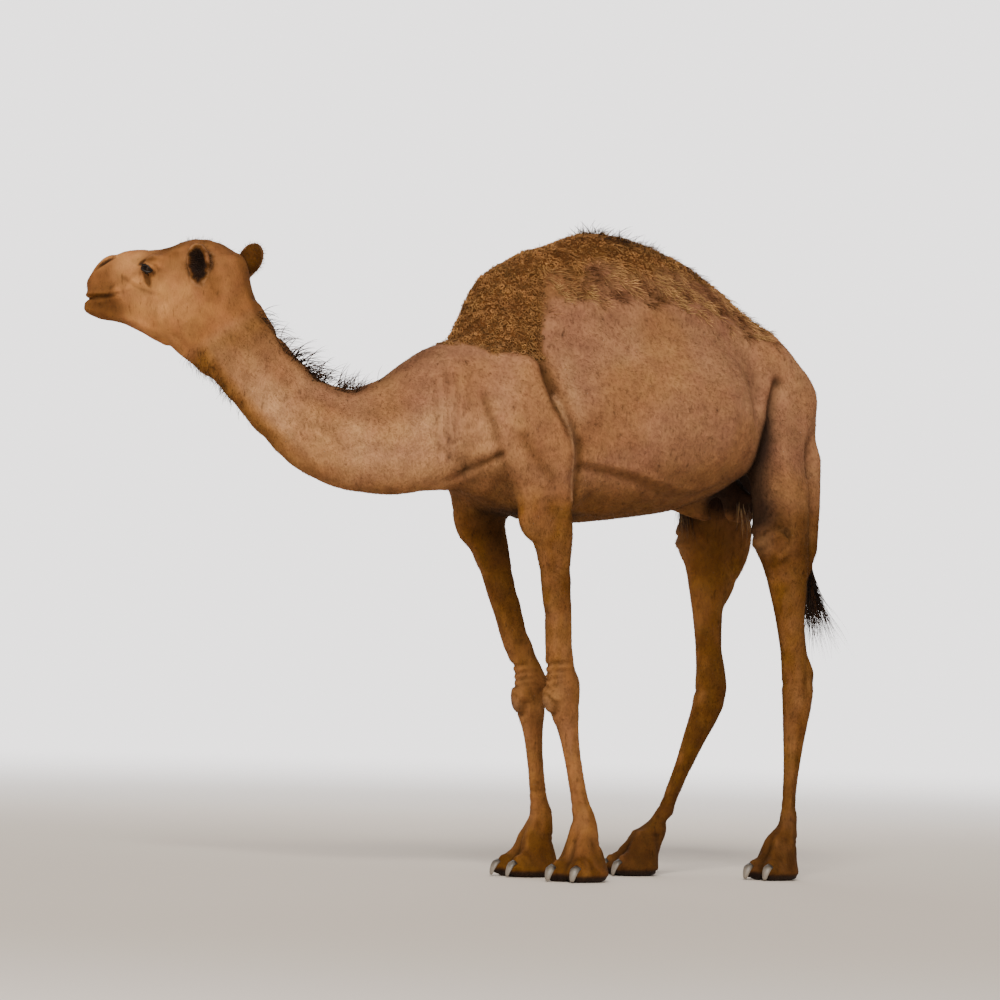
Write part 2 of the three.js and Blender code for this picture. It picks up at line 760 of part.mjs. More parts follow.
// Stations of the sheath: x, z, half depth and half width.
const SHEATH = [
  [700, 1230, 20, 30],
  [760, 1235, 44, 34],
  [820, 1225, 48, 28],
  [862, 1196, 34, 19],
  [888, 1178, 14, 10],
];
const sheath = (grow) => {
  const middles = endsMoved(SHEATH.map(([x, z]) => [x, 0, z]), grow);
  const rings = SHEATH.map(([, , deep, wide], i) =>
    ring(middles[i], [0, 1, 0], [0.35, 0, 1], wide + grow, deep + grow, 10),
  );
  return loft(rings);
};
const breastPad = (grow) =>
  solidOf(new THREE.SphereGeometry(1, 14, 8).scale(105 + grow, 62 + grow, 30 + grow).translate(150, 0, 1178));

// ---------------------------------------------------------------- cutting the form into pieces
// The part of a solid on the side of a plane that its normal points to, pulled back by half the gap.
const beyond = (shape, normal, point) => {
  const n = unit(normal);
  return shape.trimByPlane(n, dot(n, point) + GAP / 2);
};
const before = (shape, normal, point) => beyond(shape, times(normal, -1), point);
const largest = (shape) => shape.decompose().reduce((a, b) => (a.volume() > b.volume() ? a : b));

const HEAD_CUT = { at: [-838, 385, 1800], normal: add(times(HEAD_FORWARD, 0.62), [0, 0, 1]) };
const NECK_CUTS = [
  { at: [-715, 235, 1540], normal: [-0.5, 0.45, 0.9] },
  { at: [-500, 82, 1400], normal: [-1, 0.45, 0.05] },
  { at: [-225, 0, 1480], normal: [-1, 0.05, -0.15] },
];
const HUMP_CUT = { at: [400, 0, 1855], normal: [-0.02, 0, 1] };

const FORE_TOP = 1175;
const KNEE_CUT = 548;
const FORE_FOOT_CUT = 205;
const HIND_TOP = 1335;
const SHANK_TOP = 1010;
const HOCK_CUT = 500;
const HIND_FOOT_CUT = 190;

// The space that a leg's own pieces fill: how far back it reaches, how far in and out, and its top.
const FORE_SPACE = { front: -140, back: 420, inner: 55, outer: 420, top: FORE_TOP };
const HIND_SPACE = { front: 878, back: 1400, inner: 48, outer: 420, top: HIND_TOP };
const BELOW = -20; // under the soles
const legSpace = (space, s, grow) => {
  const inner = s * (space.inner - grow);
  const outer = s * space.outer;
  const low = [space.front - grow, Math.min(inner, outer), BELOW];
  const high = [space.back + grow, Math.max(inner, outer), space.top + grow];
  return [low, high];
};
const pieces = {}; // each piece's solid under its name

function buildHead() {
  const low = [-1230, 225, 1560];
  const high = [-700, 960, 2080];
  let shape = netOf((p) => soften(neckAndHead(p), trunk(p), 90), low, high, [31.5, 31.5, 31.5]);
  shape = largest(beyond(shape, HEAD_CUT.normal, HEAD_CUT.at));
  for (const [name, s] of Object.entries(SIDES)) {
    pieces[`eye_${name}`] = eye(s, 0);
    pieces[`ear_${name}`] = earOf(name, 0);
    shape = shape.subtract(eye(s, GAP)).subtract(earOf(name, 3 * GAP));
  }
  pieces.head = largest(shape);
}

function buildNeck() {
  const low = [-1020, -260, 1150];
  const high = [-100, 560, 1980];
  let rest = netOf(body, low, high, [63, 55, 59]);
  rest = before(rest, HEAD_CUT.normal, HEAD_CUT.at);
  const names = ["neck_upper", "neck_middle", "neck_lower"];
  names.forEach((name, i) => {
    pieces[name] = largest(beyond(rest, NECK_CUTS[i].normal, NECK_CUTS[i].at));
    rest = before(rest, NECK_CUTS[i].normal, NECK_CUTS[i].at);
  });
}

function buildTrunk() {
  const low = [-430, -446, 1030];
  const high = [1330, 440, 2200];
  let shape = netOf(body, low, high, [106, 91, 91]);
  shape = before(shape, NECK_CUTS[2].normal, NECK_CUTS[2].at);
  for (const s of Object.values(SIDES))
    for (const space of [FORE_SPACE, HIND_SPACE]) shape = shape.subtract(block(...legSpace(space, s, GAP)));
  shape = shape.subtract(hanging(TAIL, GAP, 9)).subtract(sheath(GAP)).subtract(breastPad(GAP));
  pieces.hump = largest(beyond(shape, HUMP_CUT.normal, HUMP_CUT.at));
  pieces.trunk = largest(before(shape, HUMP_CUT.normal, HUMP_CUT.at));
  pieces.tail = hanging(TAIL, 0, 9);
  pieces.tail_tuft = hanging(TUFT, 0, 9);
  pieces.sheath = sheath(0);
  pieces.breast_pad = breastPad(0);
}

const TOES = { inner: LEFT, outer: RIGHT };
function buildFoot(name, foot, field, reach, top) {
  const [x, y] = foot.middle;
  const low = [x - reach, y - reach, -40];
  const high = [x + reach, y + reach, top + 44];
  let shape = netOf(field, low, high, [43, 43, 43]);
  shape = before(beyond(shape, UP, [0, 0, -GAP / 2]), UP, [0, 0, top]);
  for (const [toe, s] of Object.entries(TOES)) {
    pieces[`${name}_nail_${toe}`] = nail(foot, s, 0);
    shape = shape.subtract(nail(foot, s, GAP));
  }
  pieces[`${name}_foot`] = largest(shape);
}

const SPARE = 60; // the net reaches this far past a cut, so that the cut face is flat
function buildForeleg(side) {
  const name = `foreleg_${side}`;
  const leg = legs[`fore_${side}`];
  const foot = FEET[`fore_${side}`];
  const [low, high] = legSpace(FORE_SPACE, SIDES[side], 0);
  const netLow = [low[0] - SPARE, Math.max(low[1] - SPARE, -420), KNEE_CUT - SPARE];
  const netHigh = [high[0], Math.min(high[1] + SPARE, 420), FORE_TOP + SPARE];
  const upper = netOf(body, netLow, netHigh, [47, 45, 68]).intersect(block(low, high));
  pieces[`${name}_forearm`] = largest(beyond(upper, UP, [0, 0, KNEE_CUT]));
  pieces[`${name}_cannon`] = sleeve(leg, FORE[side], KNEE_CUT, FORE_FOOT_CUT, 8);
  buildFoot(name, foot, leg, 150, FORE_FOOT_CUT);
}

function buildHindleg(side) {
  const name = `hindleg_${side}`;
  const leg = legs[`hind_${side}`];
  const foot = FEET[`hind_${side}`];
  const [low, high] = legSpace(HIND_SPACE, SIDES[side], 0);
  const netLow = [low[0] - SPARE, low[1], SHANK_TOP - 70];
  const netHigh = [high[0], high[1] + (side === "left" ? SPARE : 0), HIND_TOP + SPARE];
  const thigh = netOf(body, netLow, netHigh, [58, 52, 64]).intersect(block(low, high));
  pieces[`${name}_thigh`] = largest(beyond(thigh, UP, [0, 0, SHANK_TOP]));
  pieces[`${name}_shank`] = sleeve(leg, HIND[side], SHANK_TOP, HOCK_CUT, 9);
  pieces[`${name}_cannon`] = sleeve(leg, HIND[side], HOCK_CUT, HIND_FOOT_CUT, 7);
  buildFoot(name, foot, leg, 145, HIND_FOOT_CUT);
}

buildHead();
buildNeck();
buildTrunk();
for (const side of Object.keys(SIDES)) {
  buildForeleg(side);
  buildHindleg(side);
}

// ---------------------------------------------------------------- the scene graph
const finish = (color, roughness) => new THREE.MeshStandardMaterial({ color, roughness, metalness: 0 });
const MATERIALS = {
  coat: finish(0xb28d67, 0.9),
  wool: finish(0x7d5a34, 0.95),
  darkHair: finish(0x2f2119, 0.8),
  eye: finish(0x1b100a, 0.15),
  horn: finish(0x6e665c, 0.5),
  callus: finish(0x6b5138, 0.85),
};
function materialFor(name) {
  if (name.startsWith("eye")) return MATERIALS.eye;
  if (name.includes("nail")) return MATERIALS.horn;
  if (name === "hump") return MATERIALS.wool;
  if (name === "tail_tuft") return MATERIALS.darkHair;
  return name === "breast_pad" ? MATERIALS.callus : MATERIALS.coat;
}

const camel = new THREE.Group();
for (const [name, shape] of Object.entries(pieces)) {
  const { vertProperties, triVerts } = welded(shape).getMesh();
  const geometry = new THREE.BufferGeometry();
  geometry.setAttribute("position", new THREE.BufferAttribute(vertProperties, 3));
  geometry.setIndex(new THREE.BufferAttribute(triVerts, 1));
  geometry.computeVertexNormals();
  const mesh = new THREE.Mesh(geometry, materialFor(name));
  mesh.name = name;
  camel.add(mesh);
}
camel.position.set(-ORIGIN[0], -ORIGIN[1], 0);

const row = new THREE.Group();
row.add(camel);
export default row;
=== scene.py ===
"""A standing one-humped camel, life size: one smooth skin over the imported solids, with a coat of solid tufts.

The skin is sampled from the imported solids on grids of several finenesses, smoothed, sculpted and joined into one
mesh. Marks kept on its vertices (lie of the hair, colours) steer every tuft and every material.
"""

import math

import bmesh
import bpy
import numpy as np
import openvdb
from mathutils import Matrix, Vector, kdtree


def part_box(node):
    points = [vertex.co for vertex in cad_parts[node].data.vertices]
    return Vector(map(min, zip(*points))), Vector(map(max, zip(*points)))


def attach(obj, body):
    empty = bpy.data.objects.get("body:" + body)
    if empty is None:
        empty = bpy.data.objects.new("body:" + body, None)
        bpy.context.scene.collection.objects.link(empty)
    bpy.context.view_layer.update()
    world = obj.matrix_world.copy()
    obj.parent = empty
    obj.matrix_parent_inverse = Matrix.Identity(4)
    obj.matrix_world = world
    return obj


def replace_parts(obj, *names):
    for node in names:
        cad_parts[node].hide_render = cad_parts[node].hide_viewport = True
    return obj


bl_info = {
    "name": "Standing camel",
    "version": (1, 0, 0),
    "blender": (4, 5, 0),
    "location": "3D View > Sidebar > Camel",
    "description": "Builds a life-size one-humped camel over its packed solids",
    "category": "Object",
}

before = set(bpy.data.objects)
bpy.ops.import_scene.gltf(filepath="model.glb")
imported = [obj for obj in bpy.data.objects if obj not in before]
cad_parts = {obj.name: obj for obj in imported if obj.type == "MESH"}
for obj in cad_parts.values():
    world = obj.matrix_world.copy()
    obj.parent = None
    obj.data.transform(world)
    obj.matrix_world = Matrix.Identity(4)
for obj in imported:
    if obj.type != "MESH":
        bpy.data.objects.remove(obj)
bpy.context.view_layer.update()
ROOT = "root"
LEFT, RIGHT = -1.0, 1.0
SIDES = {"left": LEFT, "right": RIGHT}
LEGS = ("foreleg_left", "foreleg_right", "hindleg_left", "hindleg_right")
EAR_NODES = ("ear_left", "ear_right")
SKIN_NODES = [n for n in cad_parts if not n.startswith("eye_") and "nail" not in n and n != "tail_tuft"]


# ================================================================== vectors and soft shapes on arrays
def vec(*numbers):
    return np.array(numbers, dtype=np.float64)


def unit(v):
    return v / max(np.linalg.norm(v), 1e-12)


def rows_unit(v):
    return v / np.maximum(np.linalg.norm(v, axis=1, keepdims=True), 1e-12)


def along_skin(ways, normals, share=1.0):
    """Directions with a share of what stands out of the skin taken away."""
    return ways - normals * np.sum(ways * normals, 1)[:, None] * share


def smoothstep(low, high, x):
    """0 at low and 1 at high, smooth between; low may be the larger one."""
    t = np.clip((x - low) / (high - low), 0.0, 1.0)
    return t * t * (3.0 - 2.0 * t)


def soft_min(a, b, soft):
    """The smaller of two values, with the corner between them rounded off."""
    h = np.maximum(soft - np.abs(a - b), 0.0) / soft
    return np.minimum(a, b) - h * h * soft / 4.0


def cloud(points, size, seed):
    """Smooth random values from 0 to 1 at points, in lumps of about `size` metres."""
    table = np.random.default_rng(seed).random(4096)
    cell = np.floor(points / size).astype(np.int64)
    part = points / size - cell
    part = part * part * (3.0 - 2.0 * part)
    total = np.zeros(len(points))
    for corner in np.ndindex(2, 2, 2):
        at = cell + np.array(corner)
        pick = (at[:, 0] * 73856093 ^ at[:, 1] * 19349663 ^ at[:, 2] * 83492791) % len(table)
        weight = np.prod(np.where(corner, part, 1.0 - part), axis=1)
        total += weight * table[pick]
    return total


# ================================================================== anatomy, in metres
# The skeleton has the middle of the trunk over x = y = 0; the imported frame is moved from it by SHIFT.
SHIFT = vec(-0.147, -0.228, 0.0)
UP = vec(0.0, 0.0, 1.0)
HEAD_YAW = math.radians(58.0)
HEAD_AT = vec(-0.827, 0.369, 0.0)
HEAD_FORWARD = vec(-math.cos(HEAD_YAW), math.sin(HEAD_YAW), 0.0)
HEAD_SIDE = vec(math.sin(HEAD_YAW), math.cos(HEAD_YAW), 0.0)
EYE_RADIUS = 0.021
EYE_AT = {"forward": 0.242, "side": 0.079, "up": 1.926}
# Each ear: its root, the way to its tip and the way its cup faces, all as forward, side and up.
EARS = {
    "ear_left": {
        "root": (0.060, -0.074, 1.904), "axis": (-0.008, -0.042, 0.110), "open": (-0.025, -0.140, 0.0),
    },
    "ear_right": {
        "root": (-0.026, 0.072, 1.928), "axis": (-0.026, 0.050, 0.110), "open": (0.060, 0.130, 0.0),
    },
}
EAR_LONG = 0.122
EAR_WIDE = 0.036  # half its width
EYE_TILT = math.radians(24.0)  # the inner corner of the lids is the higher one

NECK_LINE = [
    vec(-0.060, 0.000, 1.520),
    vec(-0.204, 0.000, 1.486),
    vec(-0.357, 0.027, 1.421),
    vec(-0.483, 0.073, 1.397),
    vec(-0.596, 0.138, 1.418),
    vec(-0.681, 0.204, 1.492),
    vec(-0.748, 0.269, 1.593),
    vec(-0.797, 0.328, 1.688),
    vec(-0.832, 0.372, 1.780),
    vec(-0.846, 0.392, 1.880),
]
# Joint centres of each leg from the top down, and the middle of its sole.
LEG_LINES = {
    "foreleg_left": [
        vec(0.075, -0.178, 1.210), vec(0.178, -0.120, 0.618), vec(0.268, -0.134, 0.185), vec(0.247, -0.148, 0),
    ],
    "foreleg_right": [
        vec(0.035, 0.178, 1.210), vec(0.222, 0.120, 0.612), vec(0.288, 0.134, 0.185), vec(0.250, 0.141, 0),
    ],
    "hindleg_left": [
        vec(0.996, -0.205, 1.150), vec(1.116, -0.165, 0.625), vec(1.085, -0.165, 0.172), vec(1.030, -0.170, 0),
    ],
    "hindleg_right": [
        vec(0.992, 0.203, 1.150), vec(0.996, 0.155, 0.592), vec(0.785, 0.141, 0.172), vec(0.676, 0.141, 0),
    ],
}
# Each foot: how far its toes turn out, in degrees, and its half length and half width.
FEET = {
    "foreleg_left": {"toe_out": -20.0, "long": 0.104, "wide": 0.097},
    "foreleg_right": {"toe_out": 2.0, "long": 0.104, "wide": 0.097},
    "hindleg_left": {"toe_out": -14.0, "long": 0.094, "wide": 0.082},
    "hindleg_right": {"toe_out": 4.0, "long": 0.094, "wide": 0.082},
}
TAIL_LINE = [
    vec(1.205, 0.0, 1.60), vec(1.262, 0.004, 1.52), vec(1.290, 0.010, 1.40),
    vec(1.300, 0.018, 1.25), vec(1.306, 0.024, 1.11), vec(1.318, 0.028, 0.975),
]
# The wool's lower edge: how far back, and how high.
WOOL_EDGE = [
    (-0.30, 1.745), (-0.237, 1.712), (-0.12, 1.686), (0.010, 1.660), (0.035, 1.68), (0.062, 1.78), (0.085, 1.868),
    (0.27, 1.872), (0.452, 1.872), (0.636, 1.888), (0.805, 1.835), (0.912, 1.790), (1.00, 1.80), (1.10, 1.90),
]


def on_body(x, y, z):
    """A point of the skeleton's own coordinates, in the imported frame."""
    return vec(x, y, z) + SHIFT


def on_head(forward, side, up):
    """A point given as forward along the face, to the camel's right, and height."""
    return HEAD_AT + HEAD_FORWARD * forward + HEAD_SIDE * side + UP * up + SHIFT


def head_places(points):
    """Forward, side and height on the head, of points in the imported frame."""
    away = points - (HEAD_AT + SHIFT)
    return away @ HEAD_FORWARD, away @ HEAD_SIDE, points[:, 2]


def foot_ways(leg):
    """The way a foot points, and the way across it."""
    turn = math.radians(FEET[leg]["toe_out"])
    forward = vec(-math.cos(turn), math.sin(turn), 0.0)
    return forward, np.cross(forward, UP)


def on_foot(leg, forward, side, up):
    """A point on a foot, forward and to the right in shares of its half length and half width."""
    ahead, across = foot_ways(leg)
    foot = FEET[leg]
    middle = LEG_LINES[leg][-1] + SHIFT
    return middle + ahead * forward * foot["long"] + across * side * foot["wide"] + UP * up


def tilted(turn, angle):
    """Three directions, with the first and third turned about the second by an angle in radians."""
    c, s = math.cos(angle), math.sin(angle)
    return np.array([turn[0] * c + turn[2] * s, turn[1], turn[2] * c - turn[0] * s])


def ear_ways(name):
    """An ear's root, and its directions to the tip, across, and out of the cup."""
    ear = EARS[name]
    on_ways = lambda f, s, u: HEAD_FORWARD * f + HEAD_SIDE * s + UP * u
    axis = unit(on_ways(*ear["axis"]))
    out = on_ways(*ear["open"])
    out = unit(out - axis * out.dot(axis))
    return on_head(*ear["root"]), axis, np.cross(axis, out), out


BODY_TURN = np.eye(3)
HEAD_TURN = np.array([HEAD_FORWARD, HEAD_SIDE, UP])


def nearest_on_line(points, line):
    """For each point: its distance to a bent line, and how far along the line that is, in stations."""
    best = np.full(len(points), 1e9)
    place = np.zeros(len(points))
    for i, (a, b) in enumerate(zip(line[:-1], line[1:])):
        along = b - a
        t = np.clip((points - a) @ along / along.dot(along), 0.0, 1.0)
        gone = np.linalg.norm(points - a - t[:, None] * along, axis=1)
        closer = gone < best
        best = np.where(closer, gone, best)
        place = np.where(closer, i + t, place)
    return best, place


def along_line(line, place):
    """Points and directions of a bent line at the given stations."""
    stations = np.arange(len(line))
    line = np.array(line)
    at = np.stack([np.interp(place, stations, line[:, k]) for k in range(3)], 1)
    slopes = np.gradient(line, axis=0)
    way = np.stack([np.interp(place, stations, slopes[:, k]) for k in range(3)], 1)
    return at, rows_unit(way)


def from_table(rows, at):
    """The value at each place, between the rows of a table of (place, value)."""
    return np.interp(at, [row[0] for row in rows], [row[1] for row in rows])


def wool_edge(x):
    """The height where the wool begins."""
    return from_table(WOOL_EDGE, x)


def wool_share(x, z):
    """1 where the coat is woolly, 0 where it is short."""
    edge = wool_edge(x)
    return smoothstep(edge - 0.012, edge + 0.020, z)


# How ochre, and how dark, the short coat of the legs is at each height, and how ochre the throat is at each
# station of the neck.
FORE_OCHRE = [(0.0, 0.9), (0.25, 0.8), (0.50, 0.6), (0.95, 0.9), (1.20, 0.9), (1.35, 0.5)]
HIND_OCHRE = [(0.0, 0.9), (0.50, 0.9), (1.00, 1.0), (1.30, 0.6)]
FORE_SHADE = [
    (0.0, 1.0), (0.08, 0.95), (0.16, 0.60), (0.35, 0.30), (0.60, 0.45), (0.72, 0.50), (0.95, 0.90), (1.15, 0.65),
    (1.30, 0.15),
]
HIND_SHADE = [
    (0.0, 1.0), (0.15, 1.0), (0.40, 0.95), (0.60, 0.85), (0.90, 0.90), (1.05, 1.0), (1.18, 0.90), (1.32, 0.40),
]
THROAT_OCHRE = [(1.5, 0.05), (2.5, 0.15), (3.6, 0.50), (5.0, 0.9), (9.0, 1.0)]
# Painted shade in the creases and painted highlights on the ridges round the shoulder, seen from the side: a line,
# its width, its strength and its colour.
CREASE_SHADE_AND_HIGHLIGHTS = [
    ([(0.000, 1.70), (0.030, 1.62), (0.060, 1.52), (0.085, 1.46)], 0.030, 0.75, "umber"),
    ([(0.130, 1.42), (0.140, 1.32), (0.150, 1.20)], 0.014, 0.60, "umber"),
    ([(0.055, 1.55), (0.095, 1.44), (0.112, 1.33), (0.122, 1.23)], 0.010, 0.70, "cream"),
    ([(0.100, 1.66), (0.130, 1.50)], 0.030, 0.35, "cream"),
    ([(-0.080, 1.42), (-0.02, 1.34), (0.03, 1.29)], 0.018, 0.45, "umber"),
    ([(-0.294, 1.254), (-0.229, 1.279), (-0.183, 1.314), (-0.132, 1.359)], 0.010, 0.60, "umber"),
    ([(-0.140, 1.225), (-0.093, 1.197), (-0.066, 1.177)], 0.011, 0.65, "umber"),
    ([(-0.186, 1.539), (-0.159, 1.413), (-0.105, 1.302), (-0.051, 1.190)], 0.012, 0.40, "umber"),
]
# The fold between the belly and the thigh, as seen from the side: how far back, and how high.
FLANK_FOLD = [(0.975, 1.66), (0.945, 1.57), (0.918, 1.48), (0.892, 1.39), (0.872, 1.30), (0.872, 1.21)]


def coat_depth(x, z):
    """How far the skin lies inside the solids, whose outline runs along the tips of the coat."""
    wool = wool_share(x, z) * smoothstep(-0.33, -0.20, x)
    low = smoothstep(1.05, 0.75, z)
    feet = smoothstep(0.16, 0.08, z)
    head = smoothstep(-0.70, -0.78, x) * smoothstep(1.66, 1.76, z)
    return 0.005 + 0.017 * wool - 0.0015 * low - 0.002 * feet - 0.0025 * head


# ================================================================== distance grids
class Grid:
    """A block of signed distances in metres, negative inside, on cubes of one size."""

    def __init__(self, low, high, voxel):
        self.voxel = voxel
        self.first = np.floor(np.array(low) / voxel).astype(int)
        self.count = (np.ceil(np.array(high) / voxel).astype(int) - self.first) + 1
        self.values = np.zeros(self.count, np.float32)

    def axes(self, start=(0, 0, 0), end=None):
        """Coordinates of the grid's planes along x, y and z, shaped so that they broadcast."""
        end = self.count if end is None else end
        return np.ix_(*[(self.first[a] + np.arange(start[a], end[a])) * self.voxel for a in range(3)])

    def transform(self):
        """Where openvdb puts the grid."""
        return openvdb.createLinearTransform(voxelSize=self.voxel)

    def read(self, points, polygons, band):
        """Distances to a closed mesh, true within `band` voxels of it."""
        key = "triangles" if polygons.shape[1] == 3 else "quads"
        made = openvdb.FloatGrid.createLevelSetFromPolygons(
            points, **{key: polygons}, transform=self.transform(), halfWidth=float(band)
        )
        out = np.zeros(self.count, np.float32)
        made.copyToArray(out, ijk=tuple(int(i) for i in self.first))
        return out

    def surface(self, values=None):
        """The zero surface as points and quads."""
        values = self.values if values is None else values
        made = openvdb.FloatGrid(float(self.voxel))
        made.copyFromArray(np.ascontiguousarray(values, np.float32), ijk=tuple(int(i) for i in self.first))
        made.transform = self.transform()
        points, _, quads = made.convertToPolygons(0.0, 0.0)
        return np.array(points), np.array(quads)

    # ---- sculpting: each tool works inside the small block of the grid that it touches
    def block(self, low, high):
        """The part of the grid between two corners, its coordinates, and whether there is any."""
        start = np.clip(np.floor(np.array(low) / self.voxel).astype(int) - self.first, 0, self.count)
        end = np.clip(np.ceil(np.array(high) / self.voxel).astype(int) + 1 - self.first, 0, self.count)
        cut = tuple(slice(a, b) for a, b in zip(start, end))
        return cut, self.axes(start, end), bool(np.all(end > start))

    def offsets(self, axes, at, turn, radii):
        """Distances from a point along three directions, each as a share of a radius."""
        x, y, z = (axis - at[i] for i, axis in enumerate(axes))
        return [(x * t[0] + y * t[1] + z * t[2]) / r for t, r in zip(turn, radii)]

    def ball(self, at, radii, soft, turn=BODY_TURN, add=True):
        """Joins on, or hollows out, an ellipsoid whose radii lie along the rows of turn."""
        reach = max(radii) + 2.5 * soft + 3 * self.voxel
        cut, axes, some = self.block(at - reach, at + reach)
        if not some:
            return
        offsets = self.offsets(axes, at, turn, radii)
        q = np.sqrt(sum(s * s for s in offsets))
        slope = np.sqrt(sum((s / r) ** 2 for s, r in zip(offsets, radii)))
        shape = np.where(slope > 1e-6, q * (q - 1.0) / np.maximum(slope, 1e-6), -min(radii))
        self.mix(cut, shape, soft, add)

    def rod(self, path, radii, soft, add=True):
        """Joins on, or hollows out, a round rod along a bent line, with a radius at each of its points."""
        reach = max(radii) + 2.5 * soft + 3 * self.voxel
        cut, axes, some = self.block(np.min(path, 0) - reach, np.max(path, 0) + reach)
        if not some:
            return
        shape = None
        for a, b, ra, rb in zip(path[:-1], path[1:], radii[:-1], radii[1:]):
            x, y, z = (axis - a[i] for i, axis in enumerate(axes))
            along = b - a
            t = np.clip((x * along[0] + y * along[1] + z * along[2]) / along.dot(along), 0.0, 1.0)
            gone = np.sqrt((x - t * along[0]) ** 2 + (y - t * along[1]) ** 2 + (z - t * along[2]) ** 2)
            piece = gone - (ra + (rb - ra) * t)
            shape = piece if shape is None else np.minimum(shape, piece)
        self.mix(cut, shape, soft, add)

    def mix(self, cut, shape, soft, add):
        """Joins a shape to a part of the grid, or takes it away, with a soft edge."""
        old = self.values[cut]
        self.values[cut] = soft_min(old, shape, soft) if add else -soft_min(-old, shape, soft)

    def swell(self, at, radii, height, turn=BODY_TURN):
        """Raises the surface by up to `height` round a point, or sinks it where height is negative."""
        reach = 2.2 * max(radii)
        cut, axes, some = self.block(at - reach, at + reach)
        if some:
            q = sum(s * s for s in self.offsets(axes, at, turn, radii))
            self.values[cut] -= (height * np.exp(-q)).astype(np.float32)

    def fold(self, path, width, height, through, thick=0.07):
        """Raises a ridge, or sinks a crease, along a bent line that is drawn on the surface from one side.

        `through` is the direction of sight; the line works on the surface within `thick` of it that way.
        """
        reach = 2.4 * width + np.abs(through) * thick
        cut, axes, some = self.block(np.min(path, 0) - reach, np.max(path, 0) + reach)
        if not some:
            return
        best = None
        for a, b in zip(path[:-1], path[1:]):
            along = (b - a) - through * through.dot(b - a)
            x, y, z = (axis - a[i] for i, axis in enumerate(axes))
            depth = x * through[0] + y * through[1] + z * through[2]
            x, y, z = x - depth * through[0], y - depth * through[1], z - depth * through[2]
            t = np.clip((x * along[0] + y * along[1] + z * along[2]) / along.dot(along), 0.0, 1.0)
            gone = (x - t * along[0]) ** 2 + (y - t * along[1]) ** 2 + (z - t * along[2]) ** 2
            near = np.exp(-gone / width**2) * np.clip(1.5 - np.abs(depth) / thick, 0.0, 1.0)
            best = near if best is None else np.maximum(best, near)
        self.values[cut] -= (height * best).astype(np.float32)


def blurred(values, sigma):
    """A Gaussian blur along the three axes, sigma in voxels."""
    reach = max(1, math.ceil(2.5 * sigma))
    weights = np.exp(-0.5 * (np.arange(-reach, reach + 1) / sigma) ** 2)
    weights /= weights.sum()
    for axis in range(3):
        pad = [(reach, reach) if a == axis else (0, 0) for a in range(3)]
        wide = np.pad(values, pad, mode="edge")
        total = np.zeros_like(values)
        size = values.shape[axis]
        for i, weight in enumerate(weights):
            cut = [slice(None)] * 3
            cut[axis] = slice(i, i + size)
            total += np.float32(weight) * wide[tuple(cut)]
        values = total
    return values


def node_mesh(name):
    """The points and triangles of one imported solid."""
    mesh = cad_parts[name].data
    mesh.calc_loop_triangles()
    points = np.empty(len(mesh.vertices) * 3, np.float32)
    mesh.vertices.foreach_get("co", points)
    triangles = np.empty(len(mesh.loop_triangles) * 3, np.int32)
    mesh.loop_triangles.foreach_get("vertices", triangles)
    return points.reshape(-1, 3), triangles.reshape(-1, 3).astype(np.uint32)


def solids_on(grid, names):
    """How full each cell of the grid is with the named solids, from 0 to 1."""
    low = grid.first * grid.voxel
    high = (grid.first + grid.count) * grid.voxel
    filled = np.zeros(grid.count, np.float32)
    for name in names:
        points, triangles = node_mesh(name)
        if np.any(points.max(0) < low) or np.any(points.min(0) > high):
            continue
        filled += np.clip(0.5 - grid.read(points, triangles, 3) / grid.voxel, 0.0, 1.0)
    return np.clip(filled, 0.0, 1.0)


def flesh_distance(grid, soften, band=7):
    """Distance to all the flesh as one body, with the facets and the cuts between solids smoothed away."""
    names = [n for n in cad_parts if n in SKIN_NODES and n not in EAR_NODES]
    filled = solids_on(grid, names + [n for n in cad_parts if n.startswith("eye_")])
    points, quads = grid.surface((0.5 - filled) * grid.voxel)
    distance = grid.read(points, quads, band)
    once = blurred(distance, soften / grid.voxel)
    return 2.0 * once - blurred(once, soften / grid.voxel)


# ================================================================== sculpting
ACROSS = vec(0.0, 1.0, 0.0)  # from the camel's left to its right
BACKWARD = vec(1.0, 0.0, 0.0)


def sculpt_eyes(grid):
    """Bulges the lids over each eye, creases them, and opens them."""
    turn = tilted(HEAD_TURN, EYE_TILT)
    ahead, _, over = turn
    lids = EYE_RADIUS + 0.0042
    for side in (LEFT, RIGHT):
        eye = on_head(EYE_AT["forward"], side * EYE_AT["side"], EYE_AT["up"])
        out = HEAD_SIDE * side
        grid.ball(eye, (lids, lids, lids), 0.010)
        grid.swell(eye + over * 0.026 + out * 0.012 - ahead * 0.004, (0.040, 0.020, 0.011), 0.006, turn)
        for up, deep, inner_end in ((0.019, -0.0030, -0.022), (-0.017, -0.0024, -0.020)):
            crease = [eye + over * up + ahead * a + out * 0.02 for a in (inner_end, 0.0, 0.022)]
            grid.fold(crease, 0.0045, deep, HEAD_SIDE)
        open_lids(grid, eye, turn, side)
        # The tear groove runs from the inner corner down the face.
        inner = eye + ahead * 0.026 + over * 0.004
        groove = [inner, inner - over * 0.020 + ahead * 0.004, inner - over * 0.050 - ahead * 0.01]
        grid.fold(groove, 0.005, -0.003, HEAD_SIDE)


